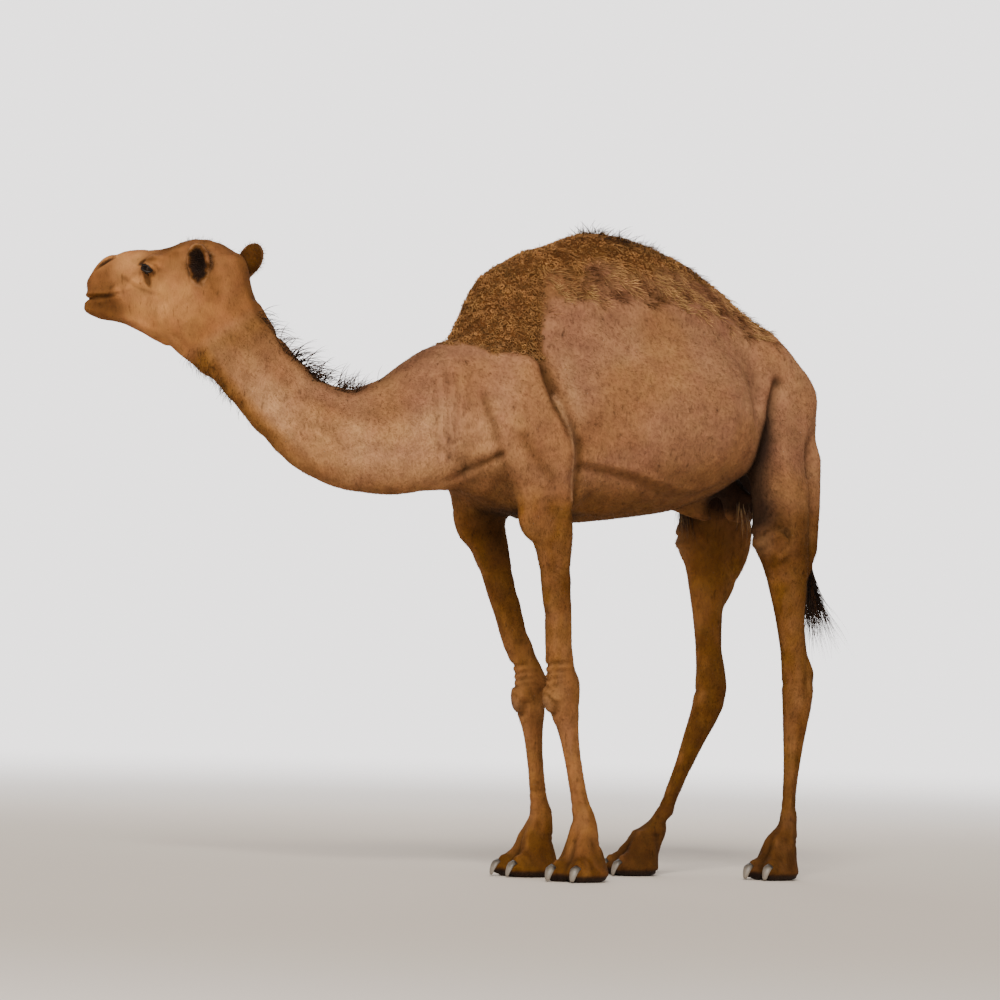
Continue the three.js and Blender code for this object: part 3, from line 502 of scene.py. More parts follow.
def open_lids(grid, eye, turn, side):
    """Opens an almond between the lids, down to the ball of the eye."""
    half_long, half_high = 0.0225, 0.0105
    round_off = (half_long**2 + half_high**2) / (2.0 * half_high)
    cut, axes, some = grid.block(eye - 0.05, eye + 0.05)
    if not some:
        return
    ahead, across, over = grid.offsets(axes, eye, turn, (1.0, side, 1.0))
    upper = np.sqrt(ahead**2 + (over + round_off - half_high) ** 2)
    lower = np.sqrt(ahead**2 + (over - round_off + half_high) ** 2)
    hole = np.maximum(np.maximum(upper, lower) - round_off, 0.004 - across)
    ball = np.sqrt(ahead**2 + across**2 + over**2) - (EYE_RADIUS + 0.0006)
    grid.values[cut] = np.maximum(-soft_min(-grid.values[cut], hole, 0.003), -ball)


# Lines on one side of the head, as forward, side and up.
NOSTRIL = ((0.452, 0.043, 1.930), (0.434, 0.044, 1.945), (0.410, 0.040, 1.960), (0.388, 0.036, 1.969))
LIPS = (
    (0.500, 0.012, 1.838), (0.470, 0.031, 1.838), (0.430, 0.044, 1.842), (0.385, 0.054, 1.850), (0.352, 0.060, 1.852),
)
# Folds on one side of the face: the line, its width and its height.
FACE_FOLDS = (
    (((0.350, 0.06, 1.866), (0.336, 0.06, 1.850), (0.346, 0.06, 1.832)), 0.006, -0.003),  # corner of the mouth
    (((0.300, 0.06, 1.885), (0.330, 0.06, 1.862), (0.345, 0.06, 1.83)), 0.010, 0.003),  # cheek
    (((0.20, 0.08, 1.84), (0.27, 0.07, 1.86), (0.34, 0.06, 1.90)), 0.008, -0.0028),  # vein below the eye
    (((0.16, 0.08, 1.70), (0.24, 0.07, 1.735), (0.34, 0.06, 1.772)), 0.013, 0.0035),  # edge of the jaw
)


def sculpt_nose_and_mouth(grid):
    """Opens the nostrils, parts the lips, and draws the folds of the cheek and the jaw."""
    nose_turn = tilted(HEAD_TURN, -0.5)
    for side in (LEFT, RIGHT):
        on_side = lambda path: [on_head(f, side * s, u) for f, s, u in path]
        grid.swell(on_head(0.425, side * 0.040, 1.972), (0.034, 0.020, 0.012), 0.005, nose_turn)
        grid.swell(on_head(0.430, side * 0.050, 1.932), (0.034, 0.018, 0.012), 0.004, nose_turn)
        grid.rod(on_side(NOSTRIL), (0.0045, 0.0075, 0.0065, 0.0035), 0.006, add=False)
        lips = on_side(LIPS)
        grid.fold([p + UP * 0.011 for p in lips], 0.008, 0.0035, HEAD_SIDE)
        grid.fold([p - UP * 0.013 for p in lips], 0.009, 0.0035, HEAD_SIDE)
        grid.rod(lips, (0.0045, 0.0045, 0.004, 0.0035, 0.002), 0.005, add=False)
        for path, width, height in FACE_FOLDS:
            grid.fold(on_side(path), width, height, HEAD_SIDE)
    # The angle of the jaw runs smoothly into the throat.
    throat = [on_head(f, 0.0, u) for f, u in ((0.165, 1.700), (0.127, 1.675), (0.099, 1.655), (0.067, 1.626))]
    grid.rod(throat, (0.026, 0.030, 0.030, 0.028), 0.035)
    # The split of the upper lip, and the hanging lower lip.
    split = [on_head(f, 0.0, u) for f, u in ((0.505, 1.930), (0.512, 1.900), (0.500, 1.862))]
    grid.fold(split, 0.006, -0.005, HEAD_FORWARD)
    grid.swell(on_head(0.492, 0.0, 1.806), (0.030, 0.030, 0.018), 0.004, HEAD_TURN)


def sculpt_ears(grid):
    """Joins on the two cups of the ears, with walls thick enough for the grid."""
    for name in EAR_NODES:
        points, triangles = node_mesh(name)
        middle = (points.max(0) + points.min(0)) / 2.0
        cut, _, some = grid.block(points.min(0) - 0.03, points.max(0) + 0.03)
        if not some or np.any(middle < grid.first * grid.voxel):
            continue
        cup = grid.read(points, triangles, 8)
        cup = blurred(cup[cut], 0.8) - 0.0012
        grid.values[cut] = soft_min(grid.values[cut], cup, 0.012)
        root, axis, across, out = ear_ways(name)
        turn = np.array([axis, across, out])
        grid.ball(root + axis * 0.050 + out * 0.006, (0.058, 0.0385, 0.017), 0.004, turn)
        grid.ball(root + axis * 0.053 + out * 0.026, (0.046, 0.0285, 0.022), 0.003, turn, add=False)


def sculpt_head(grid):
    """Everything on the head."""
    sculpt_nose_and_mouth(grid)
    sculpt_ears(grid)
    sculpt_eyes(grid)


# Folds before the shoulder, as seen from the side: how far back, and how high.
NECK_FOLDS = (
    ((-0.316, 1.585), (-0.320, 1.500), (-0.316, 1.430), (-0.296, 1.355)),
    ((-0.280, 1.600), (-0.286, 1.500), (-0.286, 1.430), (-0.262, 1.345)),
    ((-0.250, 1.610), (-0.256, 1.500), (-0.258, 1.430), (-0.230, 1.335)),
    ((-0.222, 1.590), (-0.226, 1.480), (-0.226, 1.400), (-0.200, 1.310)),
)


def sculpt_neck(grid):
    """The folds before the shoulder, the groove of the windpipe, and the throat's rings."""
    for side in (LEFT, RIGHT):
        for path in NECK_FOLDS:
            grid.fold([on_body(x, side * 0.125, z) for x, z in path], 0.0100, -0.0125, ACROSS, 0.09)
        at, _ = along_line(NECK_LINE, np.linspace(2.0, 7.2, 7))
        grid.fold([p + SHIFT + vec(0.0, side * 0.09, -0.045) for p in at], 0.026, -0.006, ACROSS, 0.10)
    for place in (6.3, 6.8, 7.3, 7.8):
        at, way = along_line(NECK_LINE, np.array([place]))
        throat = unit(np.cross(np.cross(way[0], UP), way[0])) * -0.11
        grid.swell(at[0] + SHIFT + throat, (0.075, 0.075, 0.012), -0.004)


# Lines on one side of the trunk, as seen from the side: how far back, and how high.
SHOULDER_CREASE = (
    (0.016, 1.700), (0.030, 1.610), (0.053, 1.520), (0.095, 1.455), (0.118, 1.385), (0.126, 1.290), (0.150, 1.20),
)
BELLY_VEIN = (
    (0.149, 1.352), (0.256, 1.340), (0.359, 1.319), (0.450, 1.292), (0.560, 1.274), (0.650, 1.282), (0.705, 1.313),
)
GROIN = ((0.985, 1.640), (0.952, 1.560), (0.925, 1.470), (0.898, 1.380), (0.868, 1.300), (0.858, 1.225))
HAM = (
    (1.158, -0.117, 1.50), (1.168, -0.132, 1.40), (1.161, -0.140, 1.25), (1.150, -0.150, 1.10), (1.145, -0.155, 1.01),
)
# Each fold: its line, how far that moves back and up, how far out it is drawn, its width, its height, and how deep
# it works.
TRUNK_FOLDS = (
    # The crease behind the shoulder with the ridge before it, and the edge of the upper arm beside it.
    (SHOULDER_CREASE, (0.0, 0.0), 0.24, 0.022, -0.020, 0.12),
    (SHOULDER_CREASE, (-0.045, -0.005), 0.24, 0.028, 0.010, 0.12),
    (((0.128, 1.22), (0.112, 1.33), (0.098, 1.43), (0.060, 1.52)), (0.0, 0.0), 0.24, 0.014, 0.009, 0.12),
    # The long vein along the belly, with the fold of skin below it.
    (BELLY_VEIN, (0.0, 0.0), 0.26, 0.012, 0.006, 0.12),
    (BELLY_VEIN, (0.0, -0.026), 0.26, 0.014, -0.007, 0.12),
    # The shoulder blade's spine, and the point of the shoulder.
    (((-0.02, 1.66), (-0.075, 1.56), (-0.13, 1.45)), (0.0, 0.0), 0.20, 0.032, 0.006, 0.12),
    (((-0.075, 1.40), (-0.02, 1.33), (0.03, 1.27)), (0.0, 0.0), 0.20, 0.030, -0.006, 0.12),
    # The creases of the breast, and the line of the muscle that runs down to the elbow.
    (((-0.294, 1.254), (-0.229, 1.279), (-0.183, 1.314), (-0.132, 1.359)), (0.0, 0.0), 0.15, 0.014, -0.012, 0.10),
    (((-0.140, 1.225), (-0.093, 1.197), (-0.066, 1.177)), (0.0, 0.0), 0.15, 0.013, -0.010, 0.10),
    (((-0.186, 1.539), (-0.159, 1.413), (-0.105, 1.302), (-0.051, 1.190)), (0.0, 0.0), 0.17, 0.018, -0.008, 0.12),
    # Wrinkles over the elbow.
    (((-0.040, 1.262), (0.0, 1.247), (0.040, 1.250)), (0.0, 0.0), 0.21, 0.009, -0.006, 0.10),
    (((-0.040, 1.262), (0.0, 1.247), (0.040, 1.250)), (0.0, -0.034), 0.21, 0.009, -0.006, 0.10),
    (((-0.040, 1.262), (0.0, 1.247), (0.040, 1.250)), (0.0, -0.066), 0.21, 0.009, -0.006, 0.10),
    # The deep fold between the belly and the thigh.
    (GROIN, (0.0, 0.0), 0.27, 0.026, -0.040, 0.13),
    (GROIN[:5], (-0.055, 0.0), 0.27, 0.030, 0.010, 0.12),
)
LAST_RIB = (((0.905, 1.72), (0.93, 1.60), (0.915, 1.45), (0.89, 1.30)), (0.0, 0.0), 0.24, 0.030, 0.008, 0.12)


def sculpt_trunk(grid):
    """The folds and muscles of the trunk, the upper arms and the thighs."""
    for side in (LEFT, RIGHT):
        def draw(path, moved, out, width, height, thick):
            back, up = moved
            grid.fold([on_body(x + back, side * out, z + up) for x, z in path], width, height, ACROSS, thick)

        for row in TRUNK_FOLDS:
            draw(*row)
        # The inner side of the thigh, where it meets the belly.
        if side == RIGHT:
            grid.ball(on_body(1.100, 0.165, 1.290), (0.070, 0.045, 0.09), 0.045)
        else:
            grid.rod([on_body(*at) for at in HAM], (0.028, 0.041, 0.042, 0.038, 0.012), 0.05)
        # The bulge of the upper arm's muscle over the foreleg.
        grid.ball(on_body(0.005, side * 0.178, 1.180), (0.052, 0.040, 0.085), 0.045)
        # The hollow of the flank, and the last rib.
        grid.swell(on_body(0.84, side * 0.26, 1.56), (0.075, 0.10, 0.17), -0.012)
        draw(*LAST_RIB)


# Over each stifle: how far a fold is moved up from the first, its width and its height.
STIFLE_LINE = ((-0.105, -0.045), (-0.070, -0.010), (-0.030, -0.010), (-0.012, -0.045), (-0.030, -0.085))
STIFLE_FOLDS = (
    ((0.0, 0.0, 0.0), 0.010, 0.010),
    ((0.004, 0.0, 0.024), 0.009, -0.010),
    ((0.006, 0.0, 0.048), 0.010, 0.006),
    ((0.006, 0.0, 0.070), 0.009, -0.006),
)


def sculpt_knee(grid, joint):
    """A foreleg's knee: a horny pad with a puckered rim, and wrinkles above it."""
    grid.swell(joint + vec(-0.056, 0.0, -0.050), (0.020, 0.026, 0.026), 0.009)
    rim = ((-0.03, -0.045), (-0.018, -0.082), (0.012, -0.086), (0.03, -0.055))
    grid.fold([joint + vec(-0.07, y, z) for y, z in rim], 0.008, -0.013, BACKWARD, 0.05)
    for z in (0.072, 0.048, 0.026, 0.006):
        wrinkle = [joint + vec(-0.06, y, z + 0.3 * abs(y)) for y in (-0.038, 0.0, 0.038)]
        grid.fold(wrinkle, 0.0085, -0.0120, BACKWARD, 0.05)


def sculpt_hock(grid, joint, stifle, side):
    """A hindleg's hock, and the pad and the folds of its stifle."""
    wrinkle = [joint + vec(-0.05, y, 0.02 + 0.3 * abs(y)) for y in (-0.03, 0.0, 0.03)]
    grid.fold(wrinkle, 0.008, -0.004, BACKWARD, 0.05)
    grid.fold([joint + vec(0.01, side * 0.045, z) for z in (0.10, 0.04, -0.02)], 0.014, -0.006, ACROSS, 0.04)
    line = [stifle + vec(x, side * 0.055, z) for x, z in STIFLE_LINE]
    for moved, width, height in STIFLE_FOLDS:
        grid.fold([p + vec(*moved) for p in line], width, height, ACROSS, 0.10)
    grid.swell(stifle + vec(-0.066, side * 0.05, -0.060), (0.024, 0.03, 0.026), 0.008)


def sculpt_legs(grid):
    """Knees, hocks, and the tendons down each shank."""
    for leg in LEGS:
        fore = leg.startswith("fore")
        top, joint, ankle, _ = (at + SHIFT for at in LEG_LINES[leg])
        side = LEFT if "left" in leg else RIGHT
        if fore:
            sculpt_knee(grid, joint)
        else:
            sculpt_hock(grid, joint, top, side)
        shank = lambda t: joint * (1 - t) + ankle * t
        tendon = 0.022 if fore else 0.020
        for share in (LEFT, RIGHT):
            path = [shank(t) + vec(0.006 + 0.004 * t, share * tendon, 0.0) for t in (0.22, 0.5, 0.85)]
            grid.fold(path, 0.010, -0.0040, ACROSS, 0.03)
        grid.fold([shank(t) + vec(-0.03, 0.0, 0.0) for t in (0.25, 0.55, 0.9)], 0.012, 0.003, BACKWARD, 0.05)
        for t in (0.78, 0.86):
            ring = [shank(t) + vec(-0.03, y, 0.0) for y in (-0.03, 0.0, 0.03)]
            grid.fold(ring, 0.006, -0.002, BACKWARD, 0.05)


# Forward, in half lengths of the foot, and up.
CLEFT = ((0.20, 0.128), (0.50, 0.092), (0.80, 0.056), (1.02, 0.026), (1.10, 0.0))


def sculpt_toe(grid, leg, side, turn):
    """One toe's bulge, its tendon and wrinkles, and the fold over its nail."""
    ahead, across, _ = turn
    grid.swell(on_foot(leg, 0.66, side * 0.46, 0.058), (0.034, 0.020, 0.020), 0.009, turn)
    grid.ball(on_foot(leg, 0.86, side * 0.47, 0.026), (0.020, 0.017, 0.018), 0.010, turn)
    tendon = [on_foot(leg, f, side * y, 0.10) for f, y in ((-0.1, 0.22), (0.3, 0.32), (0.7, 0.44))]
    grid.fold(tendon, 0.012, 0.004, UP, 0.1)
    for f in (0.40, 0.62):
        wrinkle = [on_foot(leg, f - 0.3 * abs(y), side * (0.46 + y), 0.08) for y in (-0.26, 0.0, 0.26)]
        grid.fold(wrinkle, 0.006, -0.003, UP, 0.1)
    nail = on_foot(leg, 0.90, side * 0.47, 0.025)
    over = [nail + across * y - ahead * 0.012 + UP * (0.020 - 0.5 * abs(y)) for y in (-0.02, 0.0, 0.02)]
    grid.fold(over, 0.006, 0.004, ahead, 0.03)


def sculpt_feet(grid):
    """The two toes of each foot, the groove above its sole, and the wrinkles behind its pastern."""
    for leg in LEGS:
        ahead, across = foot_ways(leg)
        # The cleft between the two toes, from over the foot down to the front of the sole.
        cleft = [on_foot(leg, f, 0.0, u) for f, u in CLEFT]
        grid.fold(cleft, 0.009, -0.007, UP, 0.20)
        grid.rod(cleft[1:], (0.001, 0.006, 0.011, 0.013), 0.010, add=False)
        for side in (LEFT, RIGHT):
            sculpt_toe(grid, leg, side, np.array([ahead, across, UP]))
        turns = np.linspace(0.9, 2 * math.pi - 0.9, 15)
        rim = [on_foot(leg, 0.86 * math.cos(a), 0.99 * math.sin(a), 0.017) for a in turns]
        grid.rod(rim, [0.0005, *[0.003] * (len(rim) - 2), 0.0005], 0.005, add=False)
        for u in (0.118, 0.135):
            grid.fold([on_foot(leg, -0.5, y, u) for y in (-0.5, 0.0, 0.5)], 0.006, -0.003, ahead, 0.05)


SCULPTORS = (sculpt_trunk, sculpt_neck, sculpt_head, sculpt_legs, sculpt_feet)


# ================================================================== the skin's zones, and their seams
# A seam is a plane between a coarse zone and a finer one; its normal points to the finer one.
SEAMS = {
    "neck": {"at": on_body(-0.340, 0.020, 1.430), "normal": vec(-1.0, 0.16, -0.10), "reach": 0.33},
    "head": {"at": on_body(-0.775, 0.302, 1.652), "normal": vec(-0.35, 0.42, 0.84), "reach": 0.25},
    "foreleg_left": {"at": on_body(0.120, -0.150, 0.985), "normal": -UP, "reach": 0.15},
    "foreleg_right": {"at": on_body(0.098, 0.150, 0.985), "normal": -UP, "reach": 0.15},
    "hindleg_left": {"at": on_body(1.040, -0.198, 0.985), "normal": -UP, "reach": 0.17},
    "hindleg_right": {"at": on_body(1.020, 0.190, 0.985), "normal": -UP, "reach": 0.17},
    "foreleg_left_foot": {"at": on_body(0.266, -0.134, 0.190), "normal": -UP, "reach": 0.15},
    "foreleg_right_foot": {"at": on_body(0.284, 0.134, 0.190), "normal": -UP, "reach": 0.15},
    "hindleg_left_foot": {"at": on_body(1.082, -0.165, 0.180), "normal": -UP, "reach": 0.15},
    "hindleg_right_foot": {"at": on_body(0.778, 0.141, 0.180), "normal": -UP, "reach": 0.15},
    "tail": {"at": on_body(1.286, 0.009, 1.430), "normal": vec(0.10, 0.03, -1.0), "reach": 0.055},
}
ZONES = {
    "trunk": {
        "voxel": 0.0115, "soften": 0.020, "finer": ["neck", *LEGS, "tail"], "coarser": [],
        "box": (on_body(-0.46, -0.46, 0.86), on_body(1.38, 0.46, 2.20)),
    },
    "neck": {
        "voxel": 0.0078, "soften": 0.015, "box": (on_body(-1.02, -0.24, 1.14), on_body(-0.22, 0.56, 1.86)),
        "finer": ["head"], "coarser": ["neck"],
    },
    "head": {
        "voxel": 0.0039, "soften": 0.008, "box": (on_body(-1.24, 0.14, 1.52), on_body(-0.62, 0.96, 2.10)),
        "finer": [], "coarser": ["head"],
    },
    "tail": {
        "voxel": 0.0065, "soften": 0.008, "box": (on_body(1.20, -0.06, 0.97), on_body(1.40, 0.11, 1.53)),
        "finer": [], "coarser": ["tail"],
    },
}
for leg_name in LEGS:
    top, foot = SEAMS[leg_name]["at"], SEAMS[f"{leg_name}_foot"]["at"]
    ZONES[leg_name] = {
        "voxel": 0.0075, "soften": 0.012,
        "box": (np.minimum(top, foot) - vec(0.19, 0.14, 0.06), np.maximum(top, foot) + vec(0.19, 0.14, 0.06)),
        "finer": [f"{leg_name}_foot"], "coarser": [leg_name],
    }
    sole_low, sole_high = (np.array(corner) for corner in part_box(f"{leg_name}_foot"))
    ZONES[f"{leg_name}_foot"] = {
        "voxel": 0.0055, "soften": 0.008, "box": (sole_low - 0.05, sole_high + 0.05),
        "finer": [], "coarser": [f"{leg_name}_foot"],
    }


def cut_at_seam(mesh, seam, toward, gap):
    """Cuts the mesh along a seam, moved by gap: the cut's edges, and the faces beside it on the kept side."""
    normal = Vector(unit(seam["normal"]))
    at = Vector(seam["at"]) + normal * toward * gap
    near = [f for f in mesh.faces if (f.calc_center_median() - at).length < seam["reach"]]
    parts = near + list({e for f in near for e in f.edges}) + list({v for f in near for v in f.verts})
    cut = bmesh.ops.bisect_plane(mesh, geom=parts, dist=1e-6, plane_co=at, plane_no=normal)["geom_cut"]
    rim = {e for e in cut if isinstance(e, bmesh.types.BMEdge)}
    kept = [f for e in rim for f in e.link_faces if (f.calc_center_median() - at).dot(normal) * toward > 0]
    return rim, kept


def keep_connected(mesh, rims, starts):
    """Deletes every face that can't be reached from the starting faces without crossing a cut."""
    seen = set(starts)
    queue = list(seen)
    while queue:
        face = queue.pop()
        for edge in face.edges:
            if edge in rims:
                continue
            for other in edge.link_faces:
                if other not in seen:
                    seen.add(other)
                    queue.append(other)
    bmesh.ops.delete(mesh, geom=[f for f in mesh.faces if f not in seen], context="FACES")
    bmesh.ops.delete(mesh, geom=[v for v in mesh.verts if not v.link_faces], context="VERTS")


def round_order(points, indices, normal):
    """The indices of a loop and their angles round a seam's normal, rising."""
    across = unit(np.cross(normal, vec(0.31, 0.87, 0.13)))
    other = np.cross(normal, across)
    offset = points[indices] - points[indices].mean(0)
    angle = np.arctan2(offset @ other, offset @ across)
    order = np.argsort(angle)
    return [indices[i] for i in order], angle[order]


def zipped(points, loop_a, loop_b, normal):
    """Triangles between two loops that face each other across a seam."""
    a, angle_a = round_order(points, loop_a, normal)
    b, angle_b = round_order(points, loop_b, normal)
    turn = 2.0 * math.pi
    faces = []
    i = j = 0
    while i < len(a) or j < len(b):
        next_a = angle_a[(i + 1) % len(a)] + turn * ((i + 1) // len(a)) if i < len(a) else 1e9
        next_b = angle_b[(j + 1) % len(b)] + turn * ((j + 1) // len(b)) if j < len(b) else 1e9
        if next_a <= next_b:
            faces.append((a[i % len(a)], a[(i + 1) % len(a)], b[j % len(b)]))
            i += 1
        else:
            faces.append((a[i % len(a)], b[(j + 1) % len(b)], b[j % len(b)]))
            j += 1
    return faces


def zone_mesh(zone):
    """One zone's piece of the skin, as a bmesh with its cuts open, and the vertices of each cut."""
    grid = Grid(*zone["box"], zone["voxel"])
    grid.values = flesh_distance(grid, zone["soften"])
    x, _, z = grid.axes()
    grid.values = (grid.values + coat_depth(x - SHIFT[0], z)).astype(np.float32)
    for sculpt in SCULPTORS:
        sculpt(grid)
    found, quads = grid.surface()
    data = bpy.data.meshes.new("zone")
    data.from_pydata(found.tolist(), [], quads.tolist())
    mesh = bmesh.new()
    mesh.from_mesh(data)
    bpy.data.meshes.remove(data)
    rims, starts, cuts = set(), [], {}
    for name in zone["finer"] + zone["coarser"]:
        toward = -1.0 if name in zone["finer"] else 1.0
        rim, kept = cut_at_seam(mesh, SEAMS[name], toward, zone["voxel"] * 0.45)
        rims |= rim
        starts += kept
        cuts[name] = {v for e in rim for v in e.verts}
    keep_connected(mesh, rims, starts)
    mesh.verts.index_update()
    alive = set(mesh.verts)
    loops = {name: [v.index for v in verts if v in alive and v.is_boundary] for name, verts in cuts.items()}
    return mesh, loops


def build_skin(triangles):
    """The whole skin as one closed mesh, thinned to about the given number of triangles."""
    points, faces, loops = [], [], {}
    for zone in ZONES.values():
        mesh, cuts = zone_mesh(zone)
        base = len(points)
        points.extend(tuple(v.co) for v in mesh.verts)
        faces.extend(tuple(base + v.index for v in f.verts) for f in mesh.faces)
        for seam, indices in cuts.items():
            loops.setdefault(seam, []).append([base + i for i in indices])
        mesh.free()
    points = np.array(points)
    for seam, (one, other) in loops.items():
        faces.extend(zipped(points, one, other, unit(SEAMS[seam]["normal"])))
    data = bpy.data.meshes.new("skin")
    data.from_pydata(points.tolist(), [], faces)
    mesh = bmesh.new()
    mesh.from_mesh(data)
    bmesh.ops.recalc_face_normals(mesh, faces=mesh.faces)
    seam_verts = {i for pair in loops.values() for loop in pair for i in loop}
    mesh.verts.ensure_lookup_table()
    ring = {mesh.verts[i] for i in seam_verts}
    for _ in range(2):
        ring |= {e.other_vert(v) for v in ring for e in v.link_edges}
    for _ in range(4):
        bmesh.ops.smooth_vert(
            mesh, verts=list(ring), factor=0.5, use_axis_x=True, use_axis_y=True, use_axis_z=True,
        )
    if mesh.calc_volume(signed=True) < 0:
        bmesh.ops.reverse_faces(mesh, faces=mesh.faces)
    mesh.to_mesh(data)
    mesh.free()
    skin = in_scene("skin", data)
    count = sum(len(f.vertices) - 2 for f in data.polygons)
    thin = skin.modifiers.new("Thin", "DECIMATE")
    thin.ratio = min(1.0, triangles / count)
    return made_plain(skin)


def in_scene(name, data):
    """A new object with the given data, linked to the scene."""
    made = bpy.data.objects.new(name, data)
    bpy.context.scene.collection.objects.link(made)
    return made


def closed_mesh(name, points, faces):
    """A smooth mesh whose faces all look outward."""
    data = bpy.data.meshes.new(name)
    data.from_pydata([tuple(p) for p in points], [], faces)
    shape = bmesh.new()
    shape.from_mesh(data)
    bmesh.ops.recalc_face_normals(shape, faces=shape.faces)
    shape.to_mesh(data)
    shape.free()
    data.polygons.foreach_set("use_smooth", [True] * len(data.polygons))
    return data


def tube_faces(first, around, rows, closed=False):
    """Quads between rings of points that follow one another, and back to the first ring where closed."""
    faces = []
    for i in range(rows if closed else rows - 1):
        a, b = first + i * around, first + (i + 1) % rows * around
        faces += [(a + j, a + (j + 1) % around, b + (j + 1) % around, b + j) for j in range(around)]
    return faces


def made_plain(thing):
    """Turns an object with its modifiers into a plain mesh."""
    graph = bpy.context.evaluated_depsgraph_get()
    data = bpy.data.meshes.new_from_object(thing.evaluated_get(graph))
    old = thing.data
    thing.modifiers.clear()
    thing.data = data
    if old.users == 0:
        bpy.data.meshes.remove(old)
    return thing


# ================================================================== marks kept on the skin's vertices
REGIONS = ("trunk_left", "trunk_right", "neck", "head", "forelegs", "hindlegs", "tail")
SHORT_SPACINGS = (0.0068, 0.0068, 0.0052, 0.0037, 0.0048, 0.0048, 0.006)  # between short tufts, by region


def read_vectors(rows, field):
    """One vector of each row of a mesh's points, normals or the like."""
    values = np.empty(len(rows) * 3, np.float32)
    rows.foreach_get(field, values)
    return values.reshape(-1, 3).astype(np.float64)


def read_points(data):
    return read_vectors(data.vertices, "co")


# How many numbers a mark of each kind holds, and what its field is called.
MARK_KINDS = {"FLOAT": (1, "value"), "FLOAT_VECTOR": (3, "vector"), "FLOAT_COLOR": (4, "color")}


def keep_mark(data, name, kind, values):
    """Stores one value for each vertex; kind is one of MARK_KINDS."""
    mark = data.attributes.get(name) or data.attributes.new(name, kind, "POINT")
    mark.data.foreach_set(MARK_KINDS[kind][1], np.ascontiguousarray(values, np.float32).ravel())


def read_mark(data, name):
    """The values that keep_mark stored."""
    mark = data.attributes[name]
    width, field = MARK_KINDS[mark.data_type]
    values = np.empty(len(mark.data) * width, np.float32)
    mark.data.foreach_get(field, values)
    return values.reshape(-1, width) if width > 1 else values


# Spots on both sides of the head: forward, side and up, the radii, and the tilt.
EYE_SPOT = (0.246, 0.079, 1.926)
HEAD_SHADES = (  # each with its strength and how much the noise breaks it up
    (0.60, 0.0, (0.155, 0.075, 1.975), (0.060, 0.05, 0.024), 0.42),  # temple
    (0.85, 0.0, (0.235, 0.09, 1.955), (0.046, 0.05, 0.013), 0.0),  # brow
    (0.42, 0.8, (0.010, 0.075, 1.875), (0.055, 0.06, 0.060), 0.0),  # behind the ear
    (0.70, 0.0, (0.232, 0.09, 1.905), (0.024, 0.05, 0.026), -0.3),  # below the eye
)
HEAD_PALE = (
    (1.1, (0.20, 0.08, 1.83), (0.14, 0.08, 0.085)),  # cheek
    (0.9, (0.34, 0.04, 1.945), (0.08, 0.07, 0.05)),  # bridge of the nose
)
# Spots of painted shade on both sides of the body: the strength, the place and the radii.
BODY_SHADES = (
    (0.40, (-0.215, 0.09, 1.315), (0.045, 0.09, 0.045)),  # over the breast
    (0.42, (-0.120, 0.15, 1.225), (0.070, 0.09, 0.050)),  # before the elbow
)
# Pale spots, here and in WIDE_PALE, are partly the coat's own paler hair and partly painted light.
BODY_PALE = (
    (0.40, (-0.10, 0.20, 1.55), (0.13, 0.1, 0.15)),  # shoulder
    (0.25, (0.45, 0.30, 1.70), (0.30, 0.2, 0.10)),  # ribs
    (0.45, (1.06, 0.14, 1.68), (0.15, 0.12, 0.13)),  # haunch
)
WIDE_PALE = (  # these run together over the middle of the body
    (0.55, (0.83, 0.33, 1.62), (0.10, 0.16, 0.20)),  # flank
    (0.90, (-0.21, 0.16, 1.38), (0.11, 0.12, 0.10)),  # point of the shoulder
)


